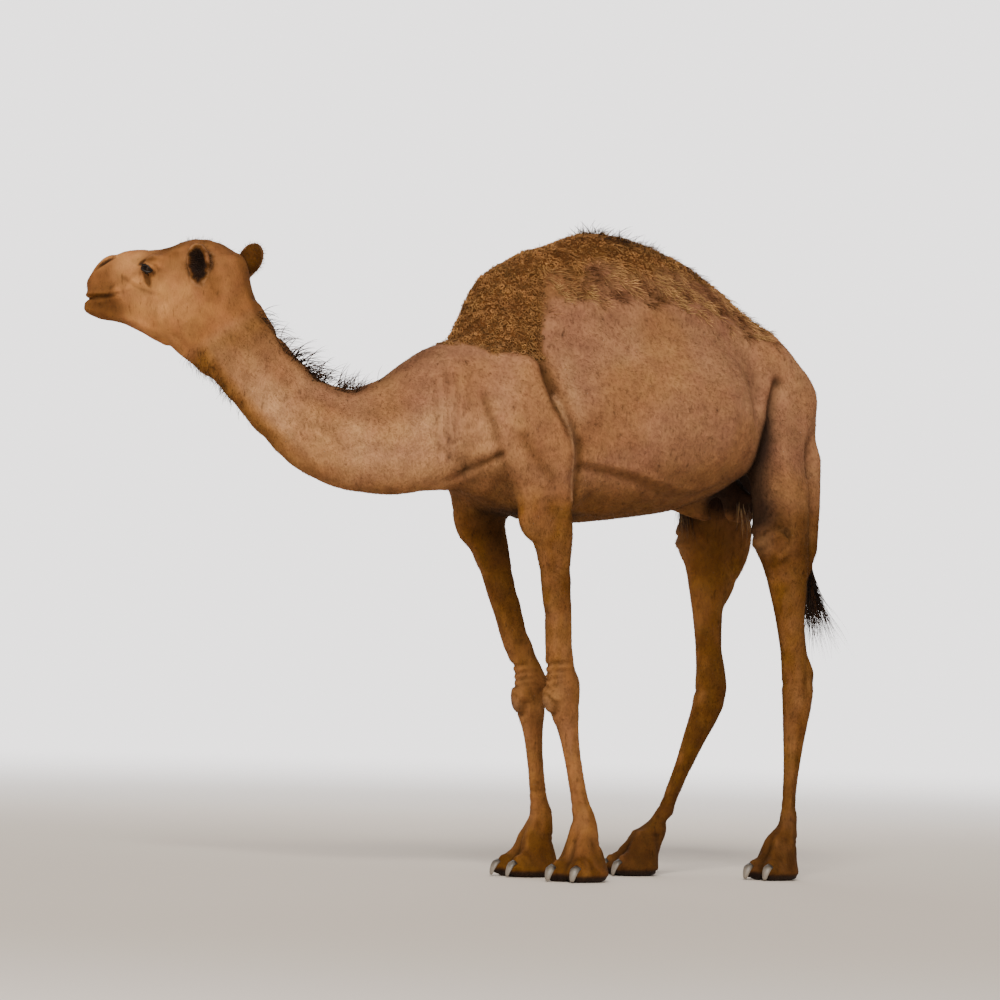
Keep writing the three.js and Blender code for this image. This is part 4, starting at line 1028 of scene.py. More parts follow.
class Places:
    """Where points and normals lie on the animal: the measures that every mark is worked out from."""

    def __init__(self, points, normals):
        self.points = points
        self.normals = normals
        self.q = points - SHIFT
        self.x, self.y, self.z = self.q.T
        self.side = np.sign(self.y)
        self.f, self.s, self.u = head_places(points)
        self.find_neck()
        self.find_leg()
        self.tail_gone, self.tail_place = nearest_on_line(self.q, TAIL_LINE)
        past = lambda seam, moved: (points - SEAMS[seam]["at"] - moved) @ unit(SEAMS[seam]["normal"])
        self.on_head = smoothstep(-0.03, 0.03, past("head", 0.12 * UP))
        self.on_neck = smoothstep(-0.05, 0.05, past("neck", vec(0.10, 0, 0)))
        self.on_leg = smoothstep(1.22, 1.06, self.z)
        self.on_tail = smoothstep(0.052, 0.042, self.tail_gone) * smoothstep(1.58, 1.50, self.z)
        self.find_wool()

    def find_neck(self):
        """How far along the neck each point is, and how near its crest: 1 on it, -1 under the throat."""
        _, self.neck_place = nearest_on_line(self.q, NECK_LINE)
        at, self.neck_way = along_line(NECK_LINE, self.neck_place)
        offset = along_skin(self.q - at, self.neck_way)
        top = np.cross(np.cross(self.neck_way, UP), self.neck_way)
        self.neck_top = np.sum(rows_unit(offset) * rows_unit(top), 1)
        self.neck_round = rows_unit(offset)

    def find_leg(self):
        """Which leg is nearest, and the point of its line beside each point."""
        found = [nearest_on_line(self.q, LEG_LINES[leg]) for leg in LEGS]
        self.leg = np.argmin([gone for gone, _ in found], axis=0)
        self.leg_at = np.zeros_like(self.points)
        for i, leg in enumerate(LEGS):
            here = self.leg == i
            self.leg_at[here] = along_line(LEG_LINES[leg], found[i][1][here])[0]

    def find_wool(self):
        """How woolly the coat is. Low on the hump's back half the wool thins out to wisps."""
        ragged = cloud(self.points, 0.045, 8) - 0.5
        fringe = 0.05 + 0.06 * smoothstep(0.06, 0.15, self.x)
        height = self.z + fringe * (cloud(self.points, 0.035, 6) - 0.5)
        self.woolly = wool_share(self.x + 0.035 * ragged, height)
        self.woolly *= smoothstep(-0.30, -0.24, self.x)
        self.wispy = smoothstep(0.015, 0.085, self.x + 0.03 * ragged) * smoothstep(1.10, 0.95, self.x)
        self.wispy *= smoothstep(0.135, 0.075, self.z - wool_edge(self.x) + 0.09 * ragged)
        self.wispy *= smoothstep(0.04, 0.12, np.abs(self.y))
        self.matted = self.woolly * (1.0 - 0.9 * self.wispy)

    def spot(self, at, radii):
        """1 at a point of the skeleton's coordinates, falling smoothly to 0 at about 1.5 radii."""
        return np.exp(-np.sum(((self.q - vec(*at)) / np.array(radii)) ** 2, 1))

    def both(self, at, radii, join=np.maximum):
        """The same on both sides of the body, as the larger of the two or their sum."""
        return join(*[self.spot(at * vec(1.0, side, 1.0), radii) for side in (LEFT, RIGHT)])

    def both_on_head(self, at, radii, tilt=0.0):
        """The same on both sides of the head, from forward, side and up."""
        turn = tilted(HEAD_TURN, tilt).T
        offsets = [self.points - on_head(at[0], side * at[1], at[2]) for side in (LEFT, RIGHT)]
        return np.maximum(*[np.exp(-np.sum((offset @ turn / np.array(radii)) ** 2, 1)) for offset in offsets])

    def from_side(self, path):
        """Each point's distance to a line drawn on the side of the body, and how far along the line it is."""
        flat = np.column_stack([self.x, 0 * self.x, self.z])
        return nearest_on_line(flat, [vec(x, 0, z) for x, z in path])

    def region(self):
        """The number in REGIONS of each point."""
        out = np.where(self.y < 0.0, 0, 1)
        out = np.where(self.on_neck > 0.5, 2, out)
        out = np.where(self.on_head > 0.5, 3, out)
        out = np.where(self.z < 1.0, np.where(self.leg < 2, 4, 5), out)
        return np.where(self.on_tail > 0.5, 6, out)

    def lie(self):
        """The way that the hair lies, along the skin."""
        ones = np.ones(len(self.points))[:, None]
        blend = lambda way, other, share: way * (1 - share) + other * share
        high = smoothstep(1.65, 1.95, self.z)[:, None]
        on_side = vec(0.72, 0.0, -0.62) * ones + np.stack([0 * self.x, 0.35 * self.side, 0 * self.x], 1)
        hump = np.stack([0.45 + 0 * self.x, 0.8 * self.side, -0.5 + 0 * self.x], 1)
        way = blend(on_side, hump, high)
        way = blend(way, vec(0.12, 0.0, -1.0), smoothstep(0.86, 1.0, self.x)[:, None] * (1 - high))
        arm = smoothstep(0.16, 0.05, self.x) * smoothstep(1.62, 1.40, self.z)
        way = blend(way, vec(0.15, 0.0, -1.0), arm[:, None])
        way = blend(way, -self.neck_way * 0.9 - UP * 0.45, self.on_neck[:, None])
        face = -HEAD_FORWARD * ones - UP * (0.30 + 0.5 * smoothstep(1.90, 1.78, self.u))[:, None]
        face = blend(face, -HEAD_FORWARD * 0.3 - UP, smoothstep(0.40, 0.50, self.f)[:, None])
        way = blend(way, face, self.on_head[:, None])
        way = blend(way, vec(0.10, 0.0, -1.0), self.on_leg[:, None])
        way = blend(way, vec(0.1, 0.0, -1.0), self.on_tail[:, None])
        swirl = np.stack([cloud(self.points, 0.09, seed) - 0.5 for seed in (11, 12, 13)], 1)
        return rows_unit(along_skin(rows_unit(way) + 0.55 * swirl, self.normals))

    def unwrap(self):
        """Cosine and sine of each point's turn round its part of the body, and how far along that part it is."""
        turn = np.stack([self.y, self.z - 1.45], 1)
        along = (self.x + 0.45) / 1.85
        across = np.sum(self.neck_round * rows_unit(np.cross(self.neck_way, UP)), 1)
        down_leg = np.clip(1.0 - self.z / 1.05, 0.02, 0.98)
        tail_at, _ = along_line(TAIL_LINE, self.tail_place)
        for here, new_turn, new_along in (
            (self.on_neck > 0.5, np.stack([across, self.neck_top], 1), self.neck_place / (len(NECK_LINE) - 1)),
            (self.on_head > 0.5, np.stack([self.s, self.u - 1.87], 1), (self.f + 0.25) / 0.85),
            (self.z < 1.0, (self.q - self.leg_at)[:, :2], (self.leg + down_leg) / len(LEGS)),
            (self.on_tail > 0.5, (self.q - tail_at)[:, :2], self.tail_place / (len(TAIL_LINE) - 1)),
        ):
            turn[here] = new_turn[here]
            along = np.where(here, new_along, along)
        return np.column_stack([rows_unit(turn), np.clip(along, 0.005, 0.995)])

    def masks(self):
        """How ochre, shaded, dark, pale and horny each point is, each from 0 to 1; the dark is painted shade, the
        shade is partly painted shade, and the ochre and the pale are partly painted light.
        """
        x, y, z, u, f = self.x, np.abs(self.y), self.z, self.u, self.f
        most = lambda *values: np.maximum.reduce(np.broadcast_arrays(*values))
        noise = cloud(self.points, 0.05, 21)
        broad = cloud(self.points, 0.16, 22)
        streaks = cloud(self.points * vec(1.0, 1.0, 0.30), 0.018, 37)
        mottled = 0.6 + 0.8 * noise
        down = np.clip(-self.normals[:, 2], 0, 1)
        hind = self.leg >= 2
        low = smoothstep(1.36, 1.16, z)
        bare_neck = self.on_neck * (1 - self.on_head)
        throat = bare_neck * smoothstep(-0.62, -0.95, self.neck_top)
        warm_throat = throat * from_table(THROAT_OCHRE, self.neck_place)
        upper = bare_neck * smoothstep(5.2, 7.2, self.neck_place)
        # Ochre: partly the coat's own warm hair, and partly painted warm light thrown up from below on the chest and
        # belly where they face down.
        ochre = most(
            low * np.where(hind, from_table(HIND_OCHRE, z), from_table(FORE_OCHRE, z)) * (0.75 + 0.4 * noise),
            warm_throat,
            self.on_head * (0.20 + 0.12 * smoothstep(1.90, 1.78, u)) * (0.5 + noise),
            smoothstep(1.42, 1.20, z) * (0.15 + 0.85 * down) * (1 - low),
            0.35 * smoothstep(0.35, 0.8, broad) * (1 - self.on_head),
            0.50 * upper * mottled,
        )
        legs = low * np.where(hind, from_table(HIND_SHADE, z), from_table(FORE_SHADE, z))
        muzzle = smoothstep(0.355, 0.425, f + 0.04 * (noise - 0.5)) * smoothstep(1.972, 1.935, u)
        chin = smoothstep(0.28, 0.38, f + 0.05 * (noise - 0.5)) * smoothstep(1.850, 1.830, u)
        crown = self.both_on_head((0.03, 0.03, 2.02), (0.12, 0.08, 0.045))
        crown = crown + self.both_on_head((0.19, 0.03, 2.00), (0.07, 0.06, 0.03))
        haunch = smoothstep(0.90, 1.02, x) * smoothstep(1.72, 1.45, z) * smoothstep(0.9, 1.1, z)
        nape = self.on_neck * smoothstep(5.5, 7.0, self.neck_place) * smoothstep(0.25, 0.85, self.neck_top)
        # Shade: partly the coat's own darker hair, and partly painted shade under the body and the throat where they
        # face down, and in BODY_SHADES.
        shade = most(
            legs * (0.50 + 0.4 * noise + 0.55 * streaks),
            0.75 * down * smoothstep(1.50, 1.25, z) * (1 - self.on_neck),
            0.55 * warm_throat * smoothstep(-0.80, -1.0, self.neck_top),
            0.55 * self.on_head * np.maximum(muzzle, chin),
            0.80 * self.on_head * np.clip(crown, 0, 1) * (0.6 + 0.5 * noise),
            (0.08 + 0.40 * smoothstep(1.45, 1.2, z)) * haunch * mottled,
            0.45 * nape,
            0.22 * upper * mottled,
            *[strength * self.both(at, radii) for strength, at, radii in BODY_SHADES],
            *[
                strength * self.on_head * self.both_on_head(at, radii, tilt) * (mottled if broken else 1.0)
                for strength, broken, at, radii, tilt in HEAD_SHADES
            ],
        )
        # Painted shade, warm and near black, in the fold of the flank, between the thighs, in the armpits and inside
        # the forelegs.
        gone, place = self.from_side(FLANK_FOLD)
        wide = 0.013 + 0.014 * place
        between = smoothstep(0.17, 0.11, y) * smoothstep(0.74, 0.88, x) * smoothstep(1.24, 1.14, x)
        armpit = smoothstep(0.15, 0.08, y) * smoothstep(1.24, 1.16, z) * smoothstep(0.95, 1.10, z)
        dark = most(
            (0.4 + 0.85 * smoothstep(0.2, 2.2, place)) * np.exp(-((gone / wide) ** 2)) * smoothstep(0.06, 0.12, y),
            1.3 * between * smoothstep(1.62, 1.4, z) * smoothstep(1.14, 1.27, z),
            armpit * smoothstep(0.30, 0.2, x),
            0.12 * smoothstep(0.02, -0.05, y - 0.16) * smoothstep(1.28, 1.0, z) * smoothstep(0.75, 1.0, z),
        )
        # Painted light falls in long streaks on the front and outer side of each leg, and painted shade darkens its
        # back.
        outward = 0.75 * self.side * self.normals[:, 1] - 0.66 * self.normals[:, 0]
        painted_light_streaks = low * smoothstep(0.25, 0.95, outward) * smoothstep(0.15, 0.75, streaks)
        painted_light_streaks *= smoothstep(0.05, 0.14, z)
        ochre = ochre * (1.0 - 0.30 * painted_light_streaks)
        shade = shade * (1.0 - 0.38 * painted_light_streaks) + 0.30 * low * smoothstep(0.3, -0.5, outward)
        neck_side = bare_neck * smoothstep(1.0, 0.45, np.abs(self.neck_top + 0.30))
        pale = most(
            neck_side * (0.75 - 0.55 * smoothstep(5.0, 7.5, self.neck_place)),
            *[strength * self.both(at, radii) for strength, at, radii in BODY_PALE],
            *[strength * self.both(at, radii, np.add) for strength, at, radii in WIDE_PALE],
            *[self.on_head * self.both_on_head(at, radii) * strength for strength, at, radii in HEAD_PALE],
        )
        # The far thigh gets less of this painted shade, as it catches the light; the hind feet are the darkest.
        far = (self.side > 0) * hind * smoothstep(0.75, 0.95, z) * smoothstep(1.26, 1.14, z)
        shade *= 1.0 - 0.55 * far
        dark = np.maximum(dark * (1.0 - 0.55 * far), 0.32 * hind * smoothstep(0.45, 0.12, z))
        # A horny pad on the breast, each knee and each stifle, and a dark ring round the knees' pads.
        horn = self.spot((0.150, 0.0, 1.160), (0.10, 0.06, 0.035))
        for leg in LEGS:
            stifle, knee, _, _ = LEG_LINES[leg]
            if leg.startswith("fore"):
                offset = (self.q - knee - vec(-0.062, 0.0, -0.052)) / vec(0.034, 0.032, 0.036)
                ring = np.exp(-(((np.linalg.norm(offset, axis=1) - 1.0) / 0.22) ** 2))
                shade = np.maximum(shade, 0.80 * ring * smoothstep(0.2, -0.4, self.normals[:, 0]))
                pad = 0.7 * self.spot(knee + vec(-0.066, 0.0, -0.058), (0.022, 0.028, 0.030))
            else:
                pad = stifle + vec(-0.09, 0.02 * np.sign(stifle[1]), -0.04)
                pad = 0.5 * self.spot(pad, (0.03, 0.04, 0.04))
            horn = np.maximum(horn, pad)
        found = {"ochre": ochre, "shade": shade, "dark": dark, "pale": pale, "horn": horn}
        return {name: np.clip(values, 0, 1) for name, values in found.items()}


def mixed(colour, other, share):
    """A colour for each point, partly replaced by one colour."""
    return colour * (1.0 - share[:, None]) + np.array(other)[None, :3] * share[:, None]


def plain(colour, count):
    """The same colour for each of a number of points."""
    return np.array(colour[:])[None, :] * np.ones((count, 1))


# Marks on both sides of the head: the place, the radii, the tilt, the colour, its strength, and where the spot
# starts and is full.
FACE_MARKS = (
    (EYE_SPOT, (0.034, 0.03, 0.017), EYE_TILT, "pitch", 0.95, 0.25, 0.60),  # lids
    ((0.243, 0.08, 1.892), (0.013, 0.03, 0.030), -0.25, "bark", 0.80, 0.2, 0.7),  # tear groove
    ((0.274, 0.07, 1.950), (0.020, 0.04, 0.0085), -0.55, "bark", 0.85, 0.2, 0.7),  # front of the brow
    # The nostril's and the mouth's marks are painted shade in those openings.
    ((0.420, 0.042, 1.954), (0.034, 0.02, 0.008), -0.52, "pitch", 0.8, 0.25, 0.7),  # nostril
    ((0.425, 0.045, 1.846), (0.075, 0.03, 0.008), 0.06, "bark", 0.85, 0.25, 0.7),  # mouth
)
EAR_SHADES = {"ear_left": 0.80, "ear_right": 0.90}


def ear_colour(places, colour, paint, name):
    """An ear: its shaded back, painted shade near black in its cup, and a painted highlight along its edge."""
    root, axis, across, out = ear_ways(name)
    away = places.points - root
    long = (away @ axis + 0.012) / EAR_LONG
    aside = (away @ across) / (EAR_WIDE * 0.92)
    near = smoothstep(0.050, 0.030, np.abs(away @ out))
    reach = np.sqrt(((long - 0.44) / 0.50) ** 2 + aside**2)
    reach = reach + 0.30 * (cloud(places.points, 0.012, 35) - 0.5)
    cup = smoothstep(1.0, 0.72, reach) * near * smoothstep(-0.3, 0.2, places.normals @ out + 0.3)
    colour = mixed(colour, paint.umber, EAR_SHADES[name] * smoothstep(1.5, 0.9, reach) * near)
    colour = mixed(colour, paint.cream, 0.22 * smoothstep(0.14, 0.05, np.abs(reach - 1.12)) * near)
    return mixed(colour, paint.pitch, 0.97 * cup)


def wool_colour(places, colour, paint):
    """The wool, its shaded patches, and the dark ridge along the back."""
    points, x, y, z = places.points, places.x, places.y, places.z
    patches = lambda size, seed, low, high: smoothstep(low, high, cloud(points, size, seed))
    colour = mixed(colour, paint.wool, 0.92 * places.matted)
    thin = places.wispy * places.woolly
    streaks = smoothstep(0.25, 0.75, cloud(points * vec(0.5, 1.0, 1.0), 0.03, 36))
    colour = mixed(colour, paint.umber, 0.25 * thin * streaks)
    rear = smoothstep(0.05, 0.20, x) * places.matted
    colour = mixed(colour, paint.umber, 0.22 * rear * patches(0.09, 34, 0.3, 0.7))
    # The ridge is widest behind the top of the hump, and dark blotches run through the wool.
    ridge = smoothstep(0.14, 0.05, np.abs(y)) * smoothstep(0.20, 0.45, x) * smoothstep(1.18, 1.05, x)
    ridge = np.maximum(ridge, 0.8 * patches(0.07, 33, 0.55, 0.75) * smoothstep(0.1, 0.5, x))
    ridge *= smoothstep(1.70, 1.80, z) * places.matted
    return mixed(colour, paint.bark, 0.62 * ridge * (0.6 + 0.4 * np.clip(places.normals[:, 2], 0, 1)))


def coat_colour(places, masks, paint):
    """The colour of the hair at each point, from the masks and the named colours."""
    points, y, z = places.points, places.y, places.z
    colour = plain(paint.sand, len(points))
    colour = mixed(colour, paint.blush, 0.50 * smoothstep(0.30, 0.80, cloud(points, 0.18, 32)))
    colour = mixed(colour, paint.cream, 0.75 * masks["pale"])
    colour = mixed(colour, paint.ochre, 0.80 * masks["ochre"])
    colour = mixed(colour, paint.umber, 0.88 * masks["shade"])
    # Painted shade in the creases and painted highlights on the ridges round the shoulder.
    for line, wide, share, tint in CREASE_SHADE_AND_HIGHLIGHTS:
        mark = np.exp(-((places.from_side(line)[0] / wide) ** 2))
        mark *= smoothstep(0.10, 0.15, np.abs(y)) * (1 - places.on_leg)
        colour = mixed(colour, getattr(paint, tint), share * mark)
    colour = wool_colour(places, colour, paint)
    crest = places.on_neck * smoothstep(0.90, 0.985, places.neck_top)
    colour = mixed(colour, paint.bark, 0.40 * crest)
    # Painted shade, near black, in the deep folds.
    colour = mixed(colour, paint.pitch, 0.92 * masks["dark"])
    for at, radii, tilt, tint, share, start, full in FACE_MARKS:
        mark = smoothstep(start, full, places.both_on_head(at, radii, tilt))
        colour = mixed(colour, getattr(paint, tint), share * mark)
    lips = places.on_head * smoothstep(0.30, 0.42, places.f) * smoothstep(1.87, 1.84, places.u)
    colour = mixed(colour, paint.umber, 0.45 * lips)
    # The head is a little warmer than the body.
    colour *= 1.0 + places.on_head[:, None] * vec(0.12, 0.01, -0.24)
    for name in EAR_NODES:
        colour = ear_colour(places, colour, paint, name)
    colour = mixed(colour, paint.callus, 0.75 * masks["horn"])
    # Soles, the front of each toe, and the end of the tail.
    colour = mixed(colour, paint.pitch, 0.92 * smoothstep(0.027, 0.015, z))
    for leg in LEGS:
        away = (points - on_foot(leg, 0.96, 0.0, 0.012)) @ np.column_stack([*foot_ways(leg), UP])
        front = np.prod(np.exp(-((away / vec(0.030, 0.060, 0.022)) ** 2)), 1)
        colour = mixed(colour, paint.pitch, 0.85 * smoothstep(0.35, 0.7, front))
    colour = mixed(colour, paint.bark, 0.5 * places.on_tail * smoothstep(1.15, 1.0, z))
    return np.clip(colour * (0.80 + 0.40 * cloud(points, 0.022, 31))[:, None], 0, 1)


def hollowness(data, points, normals, passes):
    """How hollow the surface is at each vertex, evened out over its neighbours: over 0 in a fold."""
    edges = np.zeros(len(data.edges) * 2, np.int32)
    data.edges.foreach_get("vertices", edges)
    a, b = edges.reshape(-1, 2).T
    step = points[b] - points[a]
    far = np.maximum(np.sum(step * step, 1), 1e-8)
    total = lambda at_a, at_b: np.bincount(a, at_a, len(points)) + np.bincount(b, at_b, len(points))
    count = np.maximum(total(None, None), 1)
    bend = total(np.sum(step * normals[a], 1) / far, -np.sum(step * normals[b], 1) / far) / count
    for _ in range(passes):
        bend = 0.3 * bend + 0.7 * (total(bend[b], bend[a]) / count)
    return bend


def find_places(data):
    return Places(read_points(data), read_vectors(data.vertex_normals, "vector"))


def mark_skin(data, paint):
    """Works out every mark of the skin and keeps it on the vertices."""
    places = find_places(data)
    masks = places.masks()
    colour = coat_colour(places, masks, paint)
    # Painted shade darkens the folds and painted highlights lighten the ridges, except on the matted wool.
    fine = hollowness(data, places.points, places.normals, 4)
    broad = hollowness(data, places.points, places.normals, 40)
    fold = np.clip(fine / 16.0, -1, 1) * 0.6 + np.clip(broad / 6.0, -1, 1) * 0.4
    keep = 1.0 - smoothstep(0.5, 1.0, places.matted)
    colour = np.clip(colour * (1.0 - keep * np.where(fold > 0, 0.62 * fold, 0.30 * fold))[:, None], 0, 1)
    keep_mark(data, "Coat Colour", "FLOAT_COLOR", np.column_stack([colour, np.ones(len(colour))]))
    keep_mark(data, "Wool", "FLOAT", places.matted)
    keep_mark(data, "Horn", "FLOAT", np.maximum(masks["horn"], smoothstep(0.020, 0.010, places.z)))
    keep_mark(data, "Lie", "FLOAT_VECTOR", places.lie())
    keep_mark(data, "Round", "FLOAT_VECTOR", places.unwrap())


# ================================================================== materials
def new_material(name):
    """A material with its node tree and its shader."""
    material = bpy.data.materials.new(name)
    material.use_nodes = True
    tree = material.node_tree
    return material, tree, tree.nodes["Principled BSDF"]


def node(tree, kind, links=(), **settings):
    """A new node; settings name its properties or its inputs, and links are (socket, input) pairs."""
    made = tree.nodes.new(kind)
    for key, value in settings.items():
        name = key.replace("_", " ").title()
        if hasattr(made, key):
            setattr(made, key, value)
        else:
            made.inputs[name].default_value = value
    for socket, target in links:
        tree.links.new(socket, made.inputs[target])
    return made


def math_node(tree, operation, a, b, clamp=False):
    """The result of a sum of two numbers or sockets."""
    made = tree.nodes.new("ShaderNodeMath")
    made.operation = operation
    made.use_clamp = clamp
    for i, value in enumerate((a, b)):
        if isinstance(value, (int, float)):
            made.inputs[i].default_value = value
        else:
            tree.links.new(value, made.inputs[i])
    return made.outputs[0]


def set_values(made, **values):
    """Sets a node's inputs by their names."""
    for key, value in values.items():
        made.inputs[key.replace("_", " ")].default_value = value


def add_bump(tree, shader, height, strength, distance):
    """Raises a shader's surface by a height."""
    bump = node(tree, "ShaderNodeBump", [(height, "Height")])
    set_values(bump, Strength=strength, Distance=distance)
    tree.links.new(bump.outputs[0], shader.inputs["Normal"])


def opaque(colour, share=1.0):
    """A colour with its alpha, made lighter or darker."""
    return (*[c * share for c in colour], 1.0)


def hair_tone_group():
    """Shader group: breaks a coat colour up into hair-sized and hand-sized patches."""
    if "Hair Tone" in bpy.data.node_groups:
        return bpy.data.node_groups["Hair Tone"]
    group = bpy.data.node_groups.new("Hair Tone", "ShaderNodeTree")
    face = group.interface
    face.new_socket("Colour", in_out="INPUT", socket_type="NodeSocketColor")
    for name, value in (("Grain Size", 160.0), ("Contrast", 0.35), ("Warmth", 0.025)):
        face.new_socket(name, in_out="INPUT", socket_type="NodeSocketFloat").default_value = value
    face.new_socket("Colour", in_out="OUTPUT", socket_type="NodeSocketColor")
    face.new_socket("Height", in_out="OUTPUT", socket_type="NodeSocketFloat")
    inlet = group.nodes.new("NodeGroupInput")
    outlet = group.nodes.new("NodeGroupOutput")
    where = group.nodes.new("ShaderNodeTexCoord")
    streak = node(group, "ShaderNodeMapping", [(where.outputs["Object"], "Vector")])
    streak.inputs["Scale"].default_value = (1.0, 1.0, 0.38)
    streak.inputs["Rotation"].default_value = (0.0, 0.5, 0.0)
    grain = [(streak.outputs[0], "Vector"), (inlet.outputs["Grain Size"], "Scale")]
    fine = node(group, "ShaderNodeTexNoise", grain, detail=4.0)
    fine.inputs["Roughness"].default_value = 0.65
    broad = node(group, "ShaderNodeTexNoise", [(where.outputs["Object"], "Vector")], scale=16.0, detail=5.0)
    fleck = node(group, "ShaderNodeTexNoise", [(streak.outputs[0], "Vector")], scale=75.0, detail=2.0)
    over = math_node(group, "SUBTRACT", fleck.outputs[0], 0.62, clamp=True)
    dark_flecks = math_node(group, "MULTIPLY", over, 3.0)
    spread = math_node(group, "SUBTRACT", fine.outputs[0], 0.5)
    wide = math_node(group, "MULTIPLY", math_node(group, "SUBTRACT", broad.outputs[0], 0.5), 0.9)
    value = math_node(group, "MULTIPLY", math_node(group, "ADD", spread, wide), inlet.outputs["Contrast"])
    value = math_node(group, "SUBTRACT", math_node(group, "ADD", value, 1.0), dark_flecks)
    hue = math_node(group, "ADD", math_node(group, "MULTIPLY", wide, inlet.outputs["Warmth"]), 0.5)
    changes = [(inlet.outputs["Colour"], "Color"), (value, "Value"), (hue, "Hue")]
    shifted = node(group, "ShaderNodeHueSaturation", changes)
    group.links.new(shifted.outputs[0], outlet.inputs["Colour"])
    group.links.new(fine.outputs[0], outlet.inputs["Height"])
    return group


def tone_node(tree, colour, **values):
    """The Hair Tone group, fed with a colour."""
    tone = tree.nodes.new("ShaderNodeGroup")
    tone.node_tree = hair_tone_group()
    tree.links.new(colour, tone.inputs["Colour"])
    for name, value in values.items():
        tone.inputs[name.replace("_", " ").title()].default_value = value
    return tone


def attribute(tree, name):
    """A node that reads a mark of the mesh."""
    made = tree.nodes.new("ShaderNodeAttribute")
    made.attribute_name = name
    return made


def skin_material():
    """Short fur seen as skin: fine hair bump and mottling, bare and cracked on the horny pads."""
    material, tree, shader = new_material("camel_skin")
    colour = attribute(tree, "Coat Colour")
    tone = tone_node(tree, colour.outputs["Color"], grain_size=170.0, contrast=0.42)
    wool = attribute(tree, "Wool")
    under = node(tree, "ShaderNodeMix", data_type="RGBA", blend_type="MULTIPLY")
    tree.links.new(tone.outputs["Colour"], under.inputs[6])
    under.inputs[7].default_value = (0.30, 0.24, 0.17, 1.0)
    tree.links.new(wool.outputs["Fac"], under.inputs[0])
    tree.links.new(under.outputs[2], shader.inputs["Base Color"])
    horn = attribute(tree, "Horn")
    where = tree.nodes.new("ShaderNodeTexCoord")
    cracks = node(tree, "ShaderNodeTexVoronoi", [(where.outputs["Object"], "Vector")], scale=130.0)
    cracks.feature = "DISTANCE_TO_EDGE"
    plates = math_node(tree, "MINIMUM", cracks.outputs["Distance"], 0.12)
    crack_height = math_node(tree, "MULTIPLY", plates, horn.outputs["Fac"])
    height = math_node(tree, "ADD", tone.outputs["Height"], math_node(tree, "MULTIPLY", crack_height, 12.0))
    add_bump(tree, shader, height, 0.55, 0.004)
    rough = math_node(tree, "SUBTRACT", 0.82, math_node(tree, "MULTIPLY", horn.outputs["Fac"], 0.2))
    tree.links.new(rough, shader.inputs["Roughness"])
    shader.inputs["Specular IOR Level"].default_value = 0.12
    return material


def hair_material(name, grain, contrast, root_shade, tip_light, roughness=0.72, sheen=0.15):
    """Solid tufts: each takes the skin's colour at its root, a shade of its own, and a paler tip."""
    material, tree, shader = new_material(name)
    colour = attribute(tree, "Coat Colour")
    tone = tone_node(tree, colour.outputs["Color"], grain_size=grain, contrast=contrast)
    along = attribute(tree, "Along")
    shade = attribute(tree, "Shade")
    ramp = node(tree, "ShaderNodeMapRange", [(along.outputs["Fac"], "Value")])
    ramp.inputs["To Min"].default_value = root_shade
    ramp.inputs["To Max"].default_value = tip_light
    own = node(tree, "ShaderNodeMapRange", [(shade.outputs["Fac"], "Value")])
    own.inputs["To Min"].default_value = 1.0 - contrast * 0.6
    own.inputs["To Max"].default_value = 1.0 + contrast * 0.6
    value = math_node(tree, "MULTIPLY", ramp.outputs[0], own.outputs[0])
    shifted = node(tree, "ShaderNodeHueSaturation", [(tone.outputs["Colour"], "Color"), (value, "Value")])
    tree.links.new(shifted.outputs[0], shader.inputs["Base Color"])
    shader.inputs["Roughness"].default_value = roughness
    shader.inputs["Specular IOR Level"].default_value = 0.12
    shader.inputs["Sheen Weight"].default_value = sheen
    return material


# ================================================================== tuft shapes
# A tuft has its root at the origin, x along the lie of the hair and z out of the skin, and is one unit long.
def strand(path, width, thick):
    """A closed three-sided hair that tapers to a point: its points, its faces, and how far along each point is."""
    path = np.array(path, float)
    ways = rows_unit(np.gradient(path, axis=0))
    points, faces, along = [], [], []
    last = len(path) - 1
    for i in range(last):
        across = unit(np.cross(ways[i], UP if abs(ways[i][2]) < 0.95 else vec(1.0, 0.0, 0.0)))
        over = np.cross(across, ways[i])
        size = (1.0 - (i / last) ** 1.7) * (0.75 if i == 0 else 1.0)
        half, rise = across * width * size, over * thick * size
        points += [path[i] - half, path[i] + half, path[i] + rise]
        along += [i / last] * 3
    points.append(path[last])
    along.append(1.0)
    faces += tube_faces(0, 3, last)
    a, tip = 3 * (last - 1), 3 * last
    faces += [(a + j, a + (j + 1) % 3, tip) for j in range(3)]
    faces.append((2, 1, 0))
    return points, faces, along


def lying(length, lift, bend, aside, turn, steps):
    """A path that leaves the skin at `lift` and lies over to `bend`, both angles in radians."""
    at = vec(0.0, aside, -0.06)
    path = [at]
    for i in range(steps):
        angle = lift + (bend - lift) * (i / max(steps - 1, 1))
        way = vec(math.cos(angle) * math.cos(turn), math.cos(angle) * math.sin(turn), math.sin(angle))
        at = at + way * length / steps
        path.append(at)
    return path


def curling(length, radius, turns, start, lean, steps):
    """A path that winds up out of the skin in a loose curl."""
    path = []
    for i in range(steps + 1):
        t = i / steps
        angle = start + turns * 2.0 * math.pi * t
        out = radius * math.sin(math.pi * min(1.0, 0.25 + 0.75 * t))
        rise = -0.10 + length * t * (1.0 - 0.35 * t)
        path.append(vec(out * math.cos(angle) + lean * t, out * math.sin(angle), rise))
    return path


def joined_strands(strands):
    """Many hairs as one list of points, one of faces, one of how far along, and how many points each has."""
    points, faces, along, counts = [], [], [], []
    for path, width, thick in strands:
        base = len(points)
        p, f, a = strand(path, width, thick)
        points += p
        along += a
        faces += [tuple(base + i for i in face) for face in f]
        counts.append(len(p))
    return points, faces, along, counts


